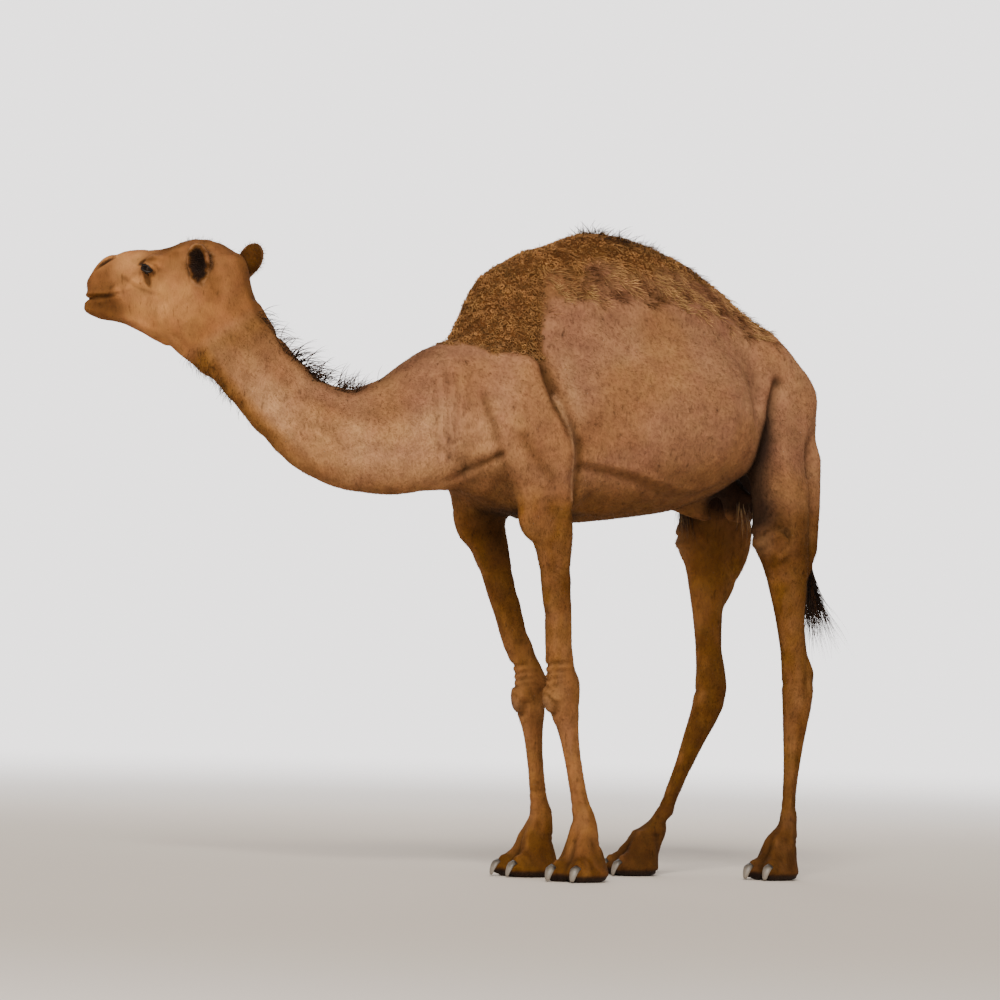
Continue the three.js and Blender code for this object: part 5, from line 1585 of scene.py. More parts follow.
def own_patch(spots):
    """Where each point lies in its own square patch, from -0.5 to 0.5 both ways."""
    low = spots.min(0)
    return (spots - low) / np.maximum(spots.max(0) - low, 1e-6) - 0.5


def tuft_object(name, strands):
    """One tuft from its strands, with its Along mark and its small patch for the unwrap."""
    points, faces, along, _ = joined_strands(strands)
    data = closed_mesh(name, points, faces)
    keep_mark(data, "Along", "FLOAT", along)
    patch = own_patch(np.array(points))
    keep_mark(data, "Patch", "FLOAT_VECTOR", np.column_stack([patch[:, :2], 0 * patch[:, 0]]))
    return bpy.data.objects.new(name, data)


def tuft_set(name, tufts):
    """A collection of tuft shapes for the tree to pick from. It stays out of the scene."""
    made = bpy.data.collections.new(name)
    for i, strands in enumerate(tufts):
        made.objects.link(tuft_object(f"{name}_{i}", strands))
    return made


def short_tufts():
    """Three short needles of hair that lie almost flat."""
    sets = []
    for turn, lift in ((0.0, 0.12), (0.14, 0.16), (-0.16, 0.14)):
        sets.append([
            (lying(1.0, lift, lift, -0.09, turn - 0.10, 1), 0.042, 0.026),
            (lying(0.84, lift + 0.05, lift, 0.02, turn + 0.05, 1), 0.040, 0.026),
            (lying(0.92, lift + 0.02, lift, 0.11, turn + 0.16, 1), 0.040, 0.024),
        ])
    return tuft_set("short_tuft", sets)


def wool_tufts():
    """Pairs of small tight curls."""
    sets = []
    for start, turns, lean, radius in (
        (0.0, 1.05, 0.25, 0.30), (2.1, -1.15, 0.3, 0.27), (4.0, 0.90, 0.15, 0.34), (1.0, 1.25, 0.35, 0.25),
        (5.2, -1.0, 0.2, 0.32),
    ):
        first = (curling(0.80, radius, turns, start, lean, 5), 0.115, 0.10)
        second = (curling(0.62, radius * 0.9, -turns, start + 2.6, lean * 0.5, 5), 0.110, 0.09)
        sets.append([first, second])
    return tuft_set("wool_tuft", sets)


def lock_tufts():
    """Longer wavy locks of three hairs, lying over."""
    sets = []
    for turn, bend in ((0.0, -0.05), (0.25, 0.05), (-0.2, -0.1)):
        sets.append([
            (lying(1.0, 0.50, bend, -0.05, turn - 0.16, 4), 0.030, 0.022),
            (lying(0.92, 0.62, bend + 0.1, 0.02, turn + 0.14, 4), 0.027, 0.022),
            (lying(0.74, 0.45, bend, 0.08, turn + 0.34, 4), 0.027, 0.020),
        ])
    return tuft_set("lock_tuft", sets)


def bristle_tufts():
    """Single stiff hairs, standing and bending over near their tips."""
    sets = []
    for turn, lift, bend in ((0.0, 1.15, 0.35), (0.35, 1.0, 0.15), (-0.3, 1.25, 0.55), (0.1, 0.8, 0.05)):
        sets.append([(lying(1.0, lift, bend, 0.0, turn, 5), 0.026, 0.020)])
    return tuft_set("bristle_tuft", sets)


# ================================================================== the tree that grows the tufts
class Tree:
    """A Geometry Nodes tree being written."""

    def __init__(self, name, sockets):
        self.tree = bpy.data.node_groups.new(name, "GeometryNodeTree")
        face = self.tree.interface
        face.new_socket("Geometry", in_out="INPUT", socket_type="NodeSocketGeometry")
        for socket_name, kind, value in sockets:
            made = face.new_socket(socket_name, in_out="INPUT", socket_type=f"NodeSocket{kind}")
            if value is not None:
                made.default_value = value
        face.new_socket("Geometry", in_out="OUTPUT", socket_type="NodeSocketGeometry")
        self.inlet = self.tree.nodes.new("NodeGroupInput")
        self.outlet = self.tree.nodes.new("NodeGroupOutput")

    def add(self, kind, links=(), **settings):
        """A new node with its properties, and its inputs as (socket or value, input) pairs."""
        made = self.tree.nodes.new(kind)
        for key, value in settings.items():
            setattr(made, key, value)
        for source, target in links:
            self.feed(made, source, target)
        return made

    def feed(self, made, source, target):
        """Links a socket to an input, or sets the input to a value."""
        socket = made.inputs[target]
        if isinstance(source, bpy.types.NodeSocket):
            self.tree.links.new(source, socket)
        else:
            socket.default_value = source

    def given(self, name):
        """One of the tree's own inputs."""
        return self.inlet.outputs[name]

    def mark(self, name, kind="FLOAT"):
        """A mark of the mesh."""
        made = self.add("GeometryNodeInputNamedAttribute", data_type=kind)
        made.inputs["Name"].default_value = name
        return made.outputs["Attribute"]

    def chance(self, low, high, seed, kind="FLOAT"):
        """A random number for each point."""
        low_end, high_end, out = {"FLOAT": (2, 3, 1), "INT": (4, 5, 2)}[kind]
        ends = [(low, low_end), (high, high_end), (seed, "Seed")]
        return self.add("FunctionNodeRandomValue", ends, data_type=kind).outputs[out]

    def sum(self, operation, *values, vector=False):
        """The result of a sum of numbers or vectors."""
        kind = "ShaderNodeVectorMath" if vector else "ShaderNodeMath"
        return self.add(kind, [(value, i) for i, value in enumerate(values)], operation=operation).outputs[0]

    def store(self, geometry, name, value, kind, domain):
        """The geometry with one more mark."""
        made = self.add("GeometryNodeStoreNamedAttribute", data_type=kind, domain=domain)
        self.feed(made, geometry, "Geometry")
        made.inputs["Name"].default_value = name
        self.feed(made, value, "Value")
        return made.outputs[0]


PATCH_SIZE = 0.003  # each tuft's share of its piece's unwrap
TURN_SHARE = 0.98 / (2.0 * math.pi)  # a full turn's share of the unwrap, for each radian


def tuft_tree():
    """Grows tufts over a mesh: spaced points, turned to the lie of the hair, each with a tuft of its own."""
    if "Grow Tufts" in bpy.data.node_groups:
        return bpy.data.node_groups["Grow Tufts"]
    t = Tree("Grow Tufts", [
        ("Tufts", "Collection", None), ("Spacing", "Float", 0.01), ("Most Per Area", "Float", 9000.0),
        ("Length", "Float", 0.02), ("Width", "Float", 0.02), ("Uneven", "Float", 0.25), ("Turn", "Float", 0.3),
        ("Tip Up", "Float", 0.08), ("Seed", "Int", 1), ("Material", "Material", None),
    ])
    points = t.add("GeometryNodeDistributePointsOnFaces", distribute_method="POISSON")
    for source, target in (
        (t.given("Geometry"), "Mesh"), (t.given("Spacing"), "Distance Min"),
        (t.given("Most Per Area"), "Density Max"), (t.mark("Growth"), "Density Factor"), (t.given("Seed"), "Seed"),
    ):
        t.feed(points, source, target)
    # Each tuft stands out of the skin, points along the lie of the hair, and is turned a little at random.
    out = t.add("FunctionNodeAlignRotationToVector", axis="Z")
    t.feed(out, points.outputs["Normal"], "Vector")
    along = t.add("FunctionNodeAlignRotationToVector", axis="X", pivot_axis="Z")
    t.feed(along, out.outputs[0], "Rotation")
    t.feed(along, t.mark("Lie", "FLOAT_VECTOR"), "Vector")
    yaw = t.sum("MULTIPLY", t.chance(-1.0, 1.0, 3), t.given("Turn"))
    pitch = t.sum("MULTIPLY", t.chance(-1.0, 0.6, 4), t.given("Tip Up"))
    roll = t.sum("MULTIPLY", t.chance(-1.0, 1.0, 5), t.given("Turn"))
    angles = t.add("ShaderNodeCombineXYZ", [(roll, 0), (pitch, 1), (yaw, 2)])
    turn = t.add("FunctionNodeEulerToRotation", [(angles.outputs[0], 0)])
    turns = [(along.outputs[0], 0), (turn.outputs[0], 1)]
    rotated = t.add("FunctionNodeRotateRotation", turns, rotation_space="LOCAL")
    uneven = t.sum("MULTIPLY_ADD", t.chance(-1.0, 0.8, 6), t.given("Uneven"), 1.0)
    sized = t.sum("MULTIPLY", uneven, t.mark("Size"))
    long = t.sum("MULTIPLY", sized, t.given("Length"))
    wide = t.sum("MULTIPLY", sized, t.given("Width"))
    scale = t.add("ShaderNodeCombineXYZ", [(long, 0), (wide, 1), (wide, 2)])
    kept = t.store(points.outputs["Points"], "Shade", t.chance(0.0, 1.0, 7), "FLOAT", "POINT")
    pick = t.add("GeometryNodeCollectionInfo", [(t.given("Tufts"), "Collection"), (True, "Separate Children")])
    placed = t.add("GeometryNodeInstanceOnPoints", [
        (kept, "Points"), (pick.outputs[0], "Instance"), (True, "Pick Instance"),
        (t.chance(0, 7, 8, "INT"), "Instance Index"), (rotated.outputs[0], "Rotation"), (scale.outputs[0], "Scale"),
    ])
    real = t.add("GeometryNodeRealizeInstances", [(placed.outputs[0], 0)])
    # The unwrap: a small patch for each tuft, laid where its root is round and along its part of the body.
    place = t.add("ShaderNodeSeparateXYZ", [(t.mark("Round", "FLOAT_VECTOR"), 0)])
    angle = t.sum("ARCTAN2", place.outputs[0], place.outputs[1])
    across = t.sum("MULTIPLY_ADD", angle, TURN_SHARE, 0.5)
    root = t.add("ShaderNodeCombineXYZ", [(across, 0), (place.outputs[2], 1)])
    shrunk = [(t.mark("Patch", "FLOAT_VECTOR"), 0), (PATCH_SIZE, "Scale")]
    patch = t.add("ShaderNodeVectorMath", shrunk, operation="SCALE")
    spot = t.sum("ADD", root.outputs[0], patch.outputs[0], vector=True)
    mapped = t.store(real.outputs[0], "OFBake", spot, "FLOAT2", "CORNER")
    for name in ("Patch", "Round", "Lie", "Growth", "Size", "Wool", "Horn"):
        mapped = t.add("GeometryNodeRemoveAttribute", [(mapped, 0), (name, "Name")]).outputs[0]
    painted = t.add("GeometryNodeSetMaterial", [(mapped, "Geometry"), (t.given("Material"), "Material")])
    t.tree.links.new(painted.outputs[0], t.outlet.inputs[0])
    return t.tree


def set_inputs(modifier, values):
    """Sets a Geometry Nodes modifier's inputs by their sockets' identifiers."""
    for item in modifier.node_group.interface.items_tree:
        if item.item_type == "SOCKET" and item.in_out == "INPUT" and item.name in values:
            modifier[item.identifier] = values[item.name]


MARKS = ("Coat Colour", "Lie", "Round")
BRISTLES_PER_AREA = 30000.0


def part_of_skin(skin, name, growth, size, colour=None, lie=None):
    """A copy of the skin where growth is over nought, with the marks that tufts need; some may be new ones."""
    data = skin.data
    data.calc_loop_triangles()
    triangles = np.empty(len(data.loop_triangles) * 3, np.int32)
    data.loop_triangles.foreach_get("vertices", triangles)
    triangles = triangles.reshape(-1, 3)
    triangles = triangles[growth[triangles].max(1) > 0.01]
    used, renamed = np.unique(triangles, return_inverse=True)
    piece = bpy.data.meshes.new(name)
    piece.from_pydata(read_points(data)[used].tolist(), [], renamed.reshape(-1, 3).tolist())
    for mark in MARKS:
        keep_mark(piece, mark, data.attributes[mark].data_type, read_mark(data, mark)[used])
    if colour is not None:
        keep_mark(piece, "Coat Colour", "FLOAT_COLOR", np.column_stack([colour, np.ones(len(colour))])[used])
    if lie is not None:
        keep_mark(piece, "Lie", "FLOAT_VECTOR", lie[used])
    keep_mark(piece, "Growth", "FLOAT", np.clip(growth[used], 0, 1))
    keep_mark(piece, "Size", "FLOAT", size[used])
    return in_scene(name, piece)


def grow(made, slot, tufts, material, seed, length, spacing, **values):
    """Grows tufts on a carrier mesh, which is then only the tufts."""
    modifier = made.modifiers.new("Grow", "NODES")
    modifier.node_group = tuft_tree()
    inputs = {"Tufts": tufts, "Material": material, "Seed": seed, "Length": length, "Width": length}
    inputs.update({"Spacing": spacing, "Most Per Area": spacing**-2})
    inputs.update({key.replace("_", " ").title(): value for key, value in values.items()})
    set_inputs(modifier, inputs)
    made_plain(made)
    made.data.materials.clear()
    made.data.materials.append(material)
    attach(made, ROOT)


# ================================================================== the coat, piece by piece
def short_coat(skin, places, coat, material):
    """Short hair over everything but the wool."""
    tufts = short_tufts()
    region = places.region()
    eyes = places.both_on_head(EYE_SPOT, (0.030, 0.03, 0.013), EYE_TILT)
    bare = np.clip(np.maximum(read_mark(skin.data, "Horn"), eyes), 0, 1)
    growth = 1.0 - 0.9 * smoothstep(0.5, 1.0, places.matted)
    growth = growth * smoothstep(0.016, 0.028, places.z) * (1.0 - 0.85 * bare)
    foot = smoothstep(0.30, 0.12, places.z)
    lips = places.on_head * smoothstep(0.36, 0.46, places.f)
    size = (1.0 - 0.35 * foot) * (1.0 - 0.40 * lips)
    lengths = (coat.trunk_length, coat.trunk_length, coat.neck_length, coat.face_length, *[coat.leg_length] * 3)
    for i, (name, spacing, length) in enumerate(zip(REGIONS, SHORT_SPACINGS, lengths)):
        carrier = part_of_skin(skin, f"coat_{name}", growth * (region == i), size)
        grow(carrier, "coat", tufts, material, coat.seed + i, length, spacing, uneven=0.35, turn=0.22, tip_up=0.05)


def skin_colour(skin):
    """The coat's colour at each point of the skin."""
    return read_mark(skin.data, "Coat Colour")[:, :3].astype(float)


def wool_coat(skin, places, paint, coat, material):
    """Tight curls on the shoulders and the hump, and loose wavy locks over the hump's back half."""
    curls, locks = wool_tufts(), lock_tufts()
    points, x = places.points, places.x
    lumps = cloud(points, 0.016, 41)
    rear = smoothstep(0.02, 0.16, x)
    colour = skin_colour(skin)
    colour *= ((0.58 + 0.56 * smoothstep(0.2, 0.8, lumps)) * (1.0 + 0.45 * rear))[:, None]
    edge = smoothstep(0.02, 0.5, places.matted) * smoothstep(1.0, 0.6, places.matted)
    colour = mixed(colour, paint.straw, 0.25 * edge)
    growth = smoothstep(0.15, 0.75, places.matted) * (1.0 - 0.35 * rear)
    size = (0.55 + 0.9 * lumps) * (1.0 - 0.25 * rear)
    for name, side in SIDES.items():
        carrier = part_of_skin(skin, f"wool_{name}", growth * (places.y * side >= 0), size, colour)
        grow(
            carrier, "wool", curls, material, coat.seed + 20, coat.wool_length, 0.0055,
            uneven=0.35, turn=1.6, tip_up=0.35,
        )
    # The locks are streaked, thick where the curls thin out, and combed backward there.
    streak = cloud(points * vec(1.0, 1.0, 0.35), 0.030, 42)
    shown = mixed(colour, paint.straw, (0.20 + 0.75 * places.wispy) * smoothstep(0.35, 0.60, streak))
    shown = mixed(shown, paint.umber, 0.70 * smoothstep(0.45, 0.2, streak))
    gaps = smoothstep(0.20, 0.6, cloud(points, 0.05, 43) + 0.25)
    wisps = smoothstep(0.0, 0.35, places.woolly) * rear * gaps
    wisps *= 0.35 + 0.65 * places.wispy
    wisps = np.maximum(wisps, 0.10 * smoothstep(0.0, 0.3, places.woolly))
    combed = along_skin(places.lie() + 0.9 * BACKWARD * places.wispy[:, None], places.normals)
    carrier = part_of_skin(skin, "wool_locks", wisps, 0.65 + 0.7 * lumps, shown, rows_unit(combed))
    grow(
        carrier, "wool", locks, material, coat.seed + 22, coat.lock_length, 0.0085,
        uneven=0.45, turn=0.55, tip_up=0.16,
    )


def dark_hair(skin, places, paint, coat, material):
    """The long hairs of the mane, the back, the throat and the ears."""
    bristles = bristle_tufts()
    points, x, y, z = places.points, places.x, places.y, places.z
    ones = np.ones(len(points))
    dark = mixed(plain(paint.bark, len(points)), paint.pitch, smoothstep(0.3, 0.7, cloud(points, 0.03, 51)))

    def grow_bristles(name, seed, growth, size, colour, length, spacing, lie=None, **values):
        carrier = part_of_skin(skin, name, growth, size, colour, lie)
        grow(carrier, "dark_hair", bristles, material, coat.seed + seed, length, spacing, **values)

    # The mane stands along the crest of the neck, longest halfway down.
    crest = places.on_neck * (1.0 - smoothstep(0.25, 0.75, places.on_head))
    crest = crest * smoothstep(0.955, 0.992, places.neck_top) * smoothstep(2.2, 4.2, places.neck_place)
    long = 0.45 + 0.55 * np.exp(-(((places.neck_place - 5.0) / 1.9) ** 2))
    clumps = smoothstep(0.35, 0.7, cloud(points, 0.035, 52))
    grow_bristles(
        "mane", 30, crest * (0.25 + 0.75 * clumps), long, dark, coat.mane_length, 0.0045,
        most_per_area=BRISTLES_PER_AREA, uneven=0.4, turn=0.35, tip_up=0.75,
    )
    # Hairs along the ridge of the back, in clumps.
    ridge = smoothstep(0.085, 0.02, np.abs(y)) * smoothstep(1.76, 1.83, z) * smoothstep(0.06, 0.35, x)
    ridge *= smoothstep(1.20, 1.05, x) * places.woolly
    peak = 0.55 + 0.75 * np.exp(-(((x - 0.43) / 0.16) ** 2))
    tufty = smoothstep(0.35, 0.75, cloud(points, 0.045, 53))
    grow_bristles(
        "back_ridge", 31, ridge * (0.2 + 0.8 * tufty), peak * (0.6 + 0.6 * tufty), dark, coat.ridge_length, 0.0048,
        most_per_area=BRISTLES_PER_AREA, uneven=0.5, turn=0.9, tip_up=0.5,
    )
    # Hanging hairs under the throat, paler than the mane.
    under = places.on_neck * (1.0 - smoothstep(0.6, 1.0, places.on_head))
    under *= smoothstep(-0.86, -0.97, places.neck_top) * smoothstep(5.0, 6.4, places.neck_place)
    warm = mixed(plain(paint.umber, len(points)), paint.bark, 0.6 * clumps)
    down = along_skin(plain((0.45, -0.25, -1.0), len(points)), places.normals, 0.4)
    grow_bristles(
        "throat_fringe", 32, under * (0.3 + 0.7 * clumps), ones, warm, coat.throat_length, 0.005, rows_unit(down),
        most_per_area=BRISTLES_PER_AREA, uneven=0.4, turn=0.4, tip_up=0.3,
    )
    # Fine hairs round the ears and on the poll.
    fine = 0.7 * places.both_on_head((0.06, 0.03, 2.03), (0.09, 0.06, 0.03))
    for name in EAR_NODES:
        root, axis, across, out = ear_ways(name)
        away = (points - root - axis * 0.055) @ np.array([axis, across, out]).T / vec(0.066, 0.044, 0.03)
        fine = np.maximum(fine, smoothstep(1.15, 0.95, np.linalg.norm(away, axis=1)))
    grow_bristles(
        "ear_hair", 33, fine, ones, mixed(skin_colour(skin), paint.umber, 0.45 * ones), coat.ear_length, 0.0042,
        width=coat.ear_length * 1.4, most_per_area=50000.0, uneven=0.4, turn=0.5, tip_up=0.6,
    )


def drawn_hairs(name, skin, hairs, material, seed):
    """One piece from hairs given as (path, half width, colour), unwrapped as the skin nearest to each root is."""
    pick = np.random.default_rng(seed)
    near = kdtree.KDTree(len(skin.data.vertices))
    for i, vertex in enumerate(skin.data.vertices):
        near.insert(vertex.co, i)
    near.balance()
    turns = read_mark(skin.data, "Round")
    points, faces, along, counts = joined_strands([(path, width, width * 0.8) for path, width, _ in hairs])
    shade, colours, places = [], [], []
    base = 0
    for (path, _, colour), count in zip(hairs, counts):
        shade += [pick.random()] * count
        colours += [(*colour, 1.0)] * count
        c, s, v = turns[near.find(path[0])[1]]
        root = np.array([math.atan2(c, s) * TURN_SHARE + 0.5, v])
        places += list(root + own_patch(np.array(points[base : base + count])[:, [0, 2]]) * PATCH_SIZE)
        base += count
    data = closed_mesh(name, points, faces)
    keep_mark(data, "Along", "FLOAT", along)
    keep_mark(data, "Shade", "FLOAT", shade)
    keep_mark(data, "Coat Colour", "FLOAT_COLOR", colours)
    unwrap = data.uv_layers.new(name="OFBake")
    corners = np.empty(len(data.loops), np.int32)
    data.loops.foreach_get("vertex_index", corners)
    unwrap.data.foreach_set("uv", np.array(places, np.float32)[corners].ravel())
    data.materials.append(material)
    made = in_scene(name, data)
    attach(made, ROOT)
    return made


FULL_TURN = 6.28


def hanging(start, way, length, droop, wave, steps, pick):
    """A long hair that leaves along `way` and falls, with a slow wave."""
    at = vec(*start)
    way = unit(way)
    sway = unit(np.cross(way, pick.normal(size=3)))
    turn = pick.random() * FULL_TURN
    path = [at]
    for i in range(steps):
        swing = sway * wave * math.cos(turn + 4.0 * i / steps)
        way = unit(way + vec(0.0, 0.0, -droop / steps) + swing / steps)
        at = at + way * length / steps
        path.append(at)
    return path


def tail_hairs(skin, paint, coat, material):
    """The tail's brush: dark hairs from its last part, fanning a little backward."""
    pick = np.random.default_rng(coat.seed + 60)
    hairs = []
    for _ in range(520):
        share = pick.random()
        at, way = along_line(TAIL_LINE, np.array([min(4.45 + 0.55 * share, 5.0)]))
        out = unit(pick.normal(size=3) * vec(1.0, 1.0, 0.15))
        spread = 0.12 + 0.38 * share * pick.random()
        length = coat.tail_length * (0.40 + 0.60 * share) * (0.55 + 0.45 * pick.random())
        start = at[0] + SHIFT + out * 0.008
        heading = way[0] + out * spread + vec(0.32 * share, 0.0, 0.0)
        colour = paint.pitch if pick.random() < 0.7 else paint.bark
        hair = hanging(start, heading, length, 0.5, 0.9, 7, pick)
        hairs.append((hair, 0.0011 + 0.0006 * pick.random(), colour))
    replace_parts(drawn_hairs("tail_brush", skin, hairs, material, coat.seed + 61), "tail_tuft")


def stifle_hairs(skin, paint, coat, material):
    """Straight strands that hang from the fold between the belly and each thigh."""
    pick = np.random.default_rng(coat.seed + 70)
    hairs = []
    for side, count in ((LEFT, 34), (RIGHT, 110)):
        for _ in range(count):
            t = pick.random()
            out = side * (0.150 + 0.03 * pick.random())
            start = on_body(0.845 + 0.085 * t, out, 1.262 - 0.05 * t - 0.03 * pick.random())
            heading = vec(0.10 + 0.12 * pick.normal(), 0.10 * pick.normal(), -1.0)
            length = 0.060 + 0.065 * pick.random()
            colour = 0.35 * np.array(paint.straw[:]) if pick.random() < 0.25 else paint.bark
            hairs.append((hanging(start, heading, length, 0.2, 0.35, 4, pick), 0.0011, colour))
    drawn_hairs("stifle_strands", skin, hairs, material, coat.seed + 71)


# Rows of lashes: the height of the lid's edge, how many, how long and how steep they stand.
LASH_ROWS = ((0.0098, 46, 0.019, 0.35), (0.0108, 34, 0.015, 0.75), (-0.0078, 26, 0.007, -0.7))
WHISKERS = 70  # on each side


def lash_hairs(skin, paint, coat, material):
    """Long double lashes on the upper lids, short ones below, and whiskers on the lips and chin."""
    pick = np.random.default_rng(coat.seed + 80)
    hairs = []
    for side in (LEFT, RIGHT):
        for high, count, long, rise in LASH_ROWS:
            for i in range(count):
                t = (i + pick.random() * 0.6) / count
                ahead, over = almond(math.pi * (0.06 + 0.88 * t), abs(high), high > 0)
                start = on_lid(side, ahead, over, EYE_RADIUS + 0.0025)
                out = unit(start - eye_middle(side))
                heading = out * 0.9 + UP * rise + HEAD_FORWARD * (0.45 * ahead / LID_LONG)
                heading = heading + 0.08 * pick.normal(size=3)
                length = long * (0.75 + 0.35 * pick.random())
                hair = hanging(start, heading, length, 0.9 if high > 0 else 0.2, 0.2, 4, pick)
                hairs.append((hair, 0.00042, paint.pitch))
        for _ in range(WHISKERS):
            f = 0.36 + 0.13 * pick.random()
            u = 1.795 + 0.035 * pick.random() if pick.random() < 0.6 else 1.865 + 0.03 * pick.random()
            s = side * (0.050 - 0.16 * max(0.0, f - 0.40))
            _, where, normal, _ = skin.closest_point_on_mesh(on_head(f, s, u))
            heading = np.array(normal) + vec(0.0, 0.0, -0.7) + HEAD_FORWARD * 0.2 + 0.3 * pick.normal(size=3)
            length = 0.010 + 0.016 * pick.random()
            hairs.append((hanging(np.array(where), heading, length, 0.5, 0.2, 3, pick), 0.00035, paint.umber))
    drawn_hairs("lashes_and_whiskers", skin, hairs, material, coat.seed + 81)


# ================================================================== eyes and nails
LID_LONG = 0.0195  # half the length of the opening between the lids
CORNEA = 0.0012  # how far the cornea bulges out of the ball
PUPIL = (0.36, 0.24)  # half its width and half its height, as shares of the ball's radius


def eye_middle(side):
    """The middle of an eye's ball."""
    return on_head(EYE_AT["forward"], side * EYE_AT["side"], EYE_AT["up"])


def almond(turn, high, upper=True):
    """A point of the lids' edge: forward, and up or down."""
    return LID_LONG * math.cos(turn), abs(high) * math.sin(turn) ** 1.3 * (1.0 if upper else -1.0)


def on_lid(side, ahead, over, radius):
    """A point on a ball about the eye's middle, from its places forward and up."""
    turn = tilted(HEAD_TURN, EYE_TILT)
    out = math.sqrt(max(radius**2 - ahead**2 - over**2, 0.0))
    return eye_middle(side) + turn[0] * ahead + turn[2] * over + HEAD_SIDE * side * out


def mesh_object(name, points, faces, material):
    """A smooth closed object of one material."""
    data = closed_mesh(name, points, faces)
    data.materials.append(material)
    return in_scene(name, data)


def eyeball(name, side, material):
    """A ball with a bulging cornea; Iris is 0 on the white, 1 at the iris's edge and 2 at its middle."""
    turn = tilted(HEAD_TURN, EYE_TILT)
    out = HEAD_SIDE * side
    rings, steps = 30, 48
    middle = eye_middle(side)
    points, iris = [middle + out * (EYE_RADIUS + CORNEA)], [2.0]
    aside, over = [0.0], [0.0]
    for i in range(1, rings):
        polar = math.pi * i / rings
        bulge = CORNEA * max(0.0, 1.0 - (polar / 0.85) ** 2)
        for j in range(steps):
            round_ = 2.0 * math.pi * j / steps
            flat = turn[0] * math.cos(round_) + turn[2] * math.sin(round_)
            way = out * math.cos(polar) + flat * math.sin(polar)
            points.append(middle + way * (EYE_RADIUS + bulge))
            iris.append(max(0.0, 2.0 - 2.0 * polar / 1.70))
            aside.append(math.sin(polar) * math.cos(round_))
            over.append(math.sin(polar) * math.sin(round_))
    points.append(middle - out * EYE_RADIUS)
    iris.append(0.0)
    aside.append(0.0)
    over.append(0.0)
    faces = [(0, 1 + j, 1 + (j + 1) % steps) for j in range(steps)]
    for i in range(rings - 2):
        a, b = 1 + i * steps, 1 + (i + 1) * steps
        faces += [(a + j, b + j, b + (j + 1) % steps, a + (j + 1) % steps) for j in range(steps)]
    last = 1 + (rings - 2) * steps
    faces += [(last + j, len(points) - 1, last + (j + 1) % steps) for j in range(steps)]
    made = mesh_object(name, points, faces, material)
    keep_mark(made.data, "Iris", "FLOAT", iris)
    pupil = np.sqrt((np.array(aside) / PUPIL[0]) ** 2 + (np.array(over) / PUPIL[1]) ** 2)
    keep_mark(made.data, "Pupil", "FLOAT", 1.0 - smoothstep(0.85, 1.15, pupil))
    return made


def lid_rims(name, side, material):
    """The soft dark rims of the lids, one closed ring with corners."""
    steps, sides = 64, 10
    thinnest = 0.0016  # at the corners of the lids
    spots, thick = [], []
    for i in range(steps):
        angle = 2.0 * math.pi * i / steps
        upper = angle < math.pi
        turn = angle if upper else 2.0 * math.pi - angle
        high, thickest = (0.0105, 0.0036) if upper else (0.0080, 0.0026)
        ahead, over = almond(turn, high, upper)
        spots.append(on_lid(side, ahead, over, EYE_RADIUS + 0.0008))
        thick.append(thinnest + (thickest - thinnest) * math.sin(turn) ** 0.6)
    middle = eye_middle(side)
    points = []
    for i in range(steps):
        way = unit(spots[(i + 1) % steps] - spots[i - 1])
        out = unit(spots[i] - middle)
        across = np.cross(way, out)
        for j in range(sides):
            angle = 2.0 * math.pi * j / sides
            points.append(spots[i] + (out * math.cos(angle) + across * math.sin(angle)) * thick[i])
    return mesh_object(name, points, tube_faces(0, sides, steps, closed=True), material)


def eye_material(paint):
    """A dark wet eye: the white's brown edge, a ring of iris, and the pupil."""
    material, tree, shader = new_material("camel_eye")
    iris = attribute(tree, "Iris")
    ring = node(tree, "ShaderNodeValToRGB", [(iris.outputs["Fac"], "Fac")])
    stops = ring.color_ramp.elements
    stops[0].position, stops[0].color = 0.30, opaque(paint.bark, 1.4)
    stops[1].position, stops[1].color = 0.90, opaque(paint.eye, 0.6)
    for place, share in ((0.45, 0.15), (0.62, 1.0)):
        stops.new(place).color = opaque(paint.eye, share)
    pupil = attribute(tree, "Pupil")
    dark = node(tree, "ShaderNodeMix", [(pupil.outputs["Fac"], 0), (ring.outputs[0], 6)], data_type="RGBA")
    dark.inputs[7].default_value = (0.002, 0.0015, 0.001, 1.0)
    tree.links.new(dark.outputs[2], shader.inputs["Base Color"])
    set_values(shader, Roughness=0.12, Specular_IOR_Level=0.2, Specular_Tint=(1.0, 0.62, 0.40, 1.0))
    set_values(shader, Coat_Weight=0.15, Coat_Roughness=0.03)
    return material


def rim_material(paint):
    """Dark damp skin with a fine grain."""
    material, tree, shader = new_material("camel_lid")
    where = tree.nodes.new("ShaderNodeTexCoord")
    grain = node(tree, "ShaderNodeTexNoise", [(where.outputs["Object"], "Vector")], scale=420.0, detail=3.0)
    add_bump(tree, shader, grain.outputs[0], 0.4, 0.0008)
    set_values(shader, Base_Color=opaque(paint.pitch, 1.1), Roughness=0.42)
    return material


# A nail's rings from its root to its tip: forward in half lengths of the foot, up, half width and half height.
NAIL_RINGS = (
    (0.76, 0.044, 0.0110, 0.009),
    (0.85, 0.045, 0.0140, 0.0125),
    (0.94, 0.040, 0.0150, 0.0135),
    (1.00, 0.031, 0.0135, 0.012),
    (1.05, 0.020, 0.0110, 0.0095),
    (1.080, 0.010, 0.0085, 0.0065),
    (1.090, 0.004, 0.0055, 0.0035),
)


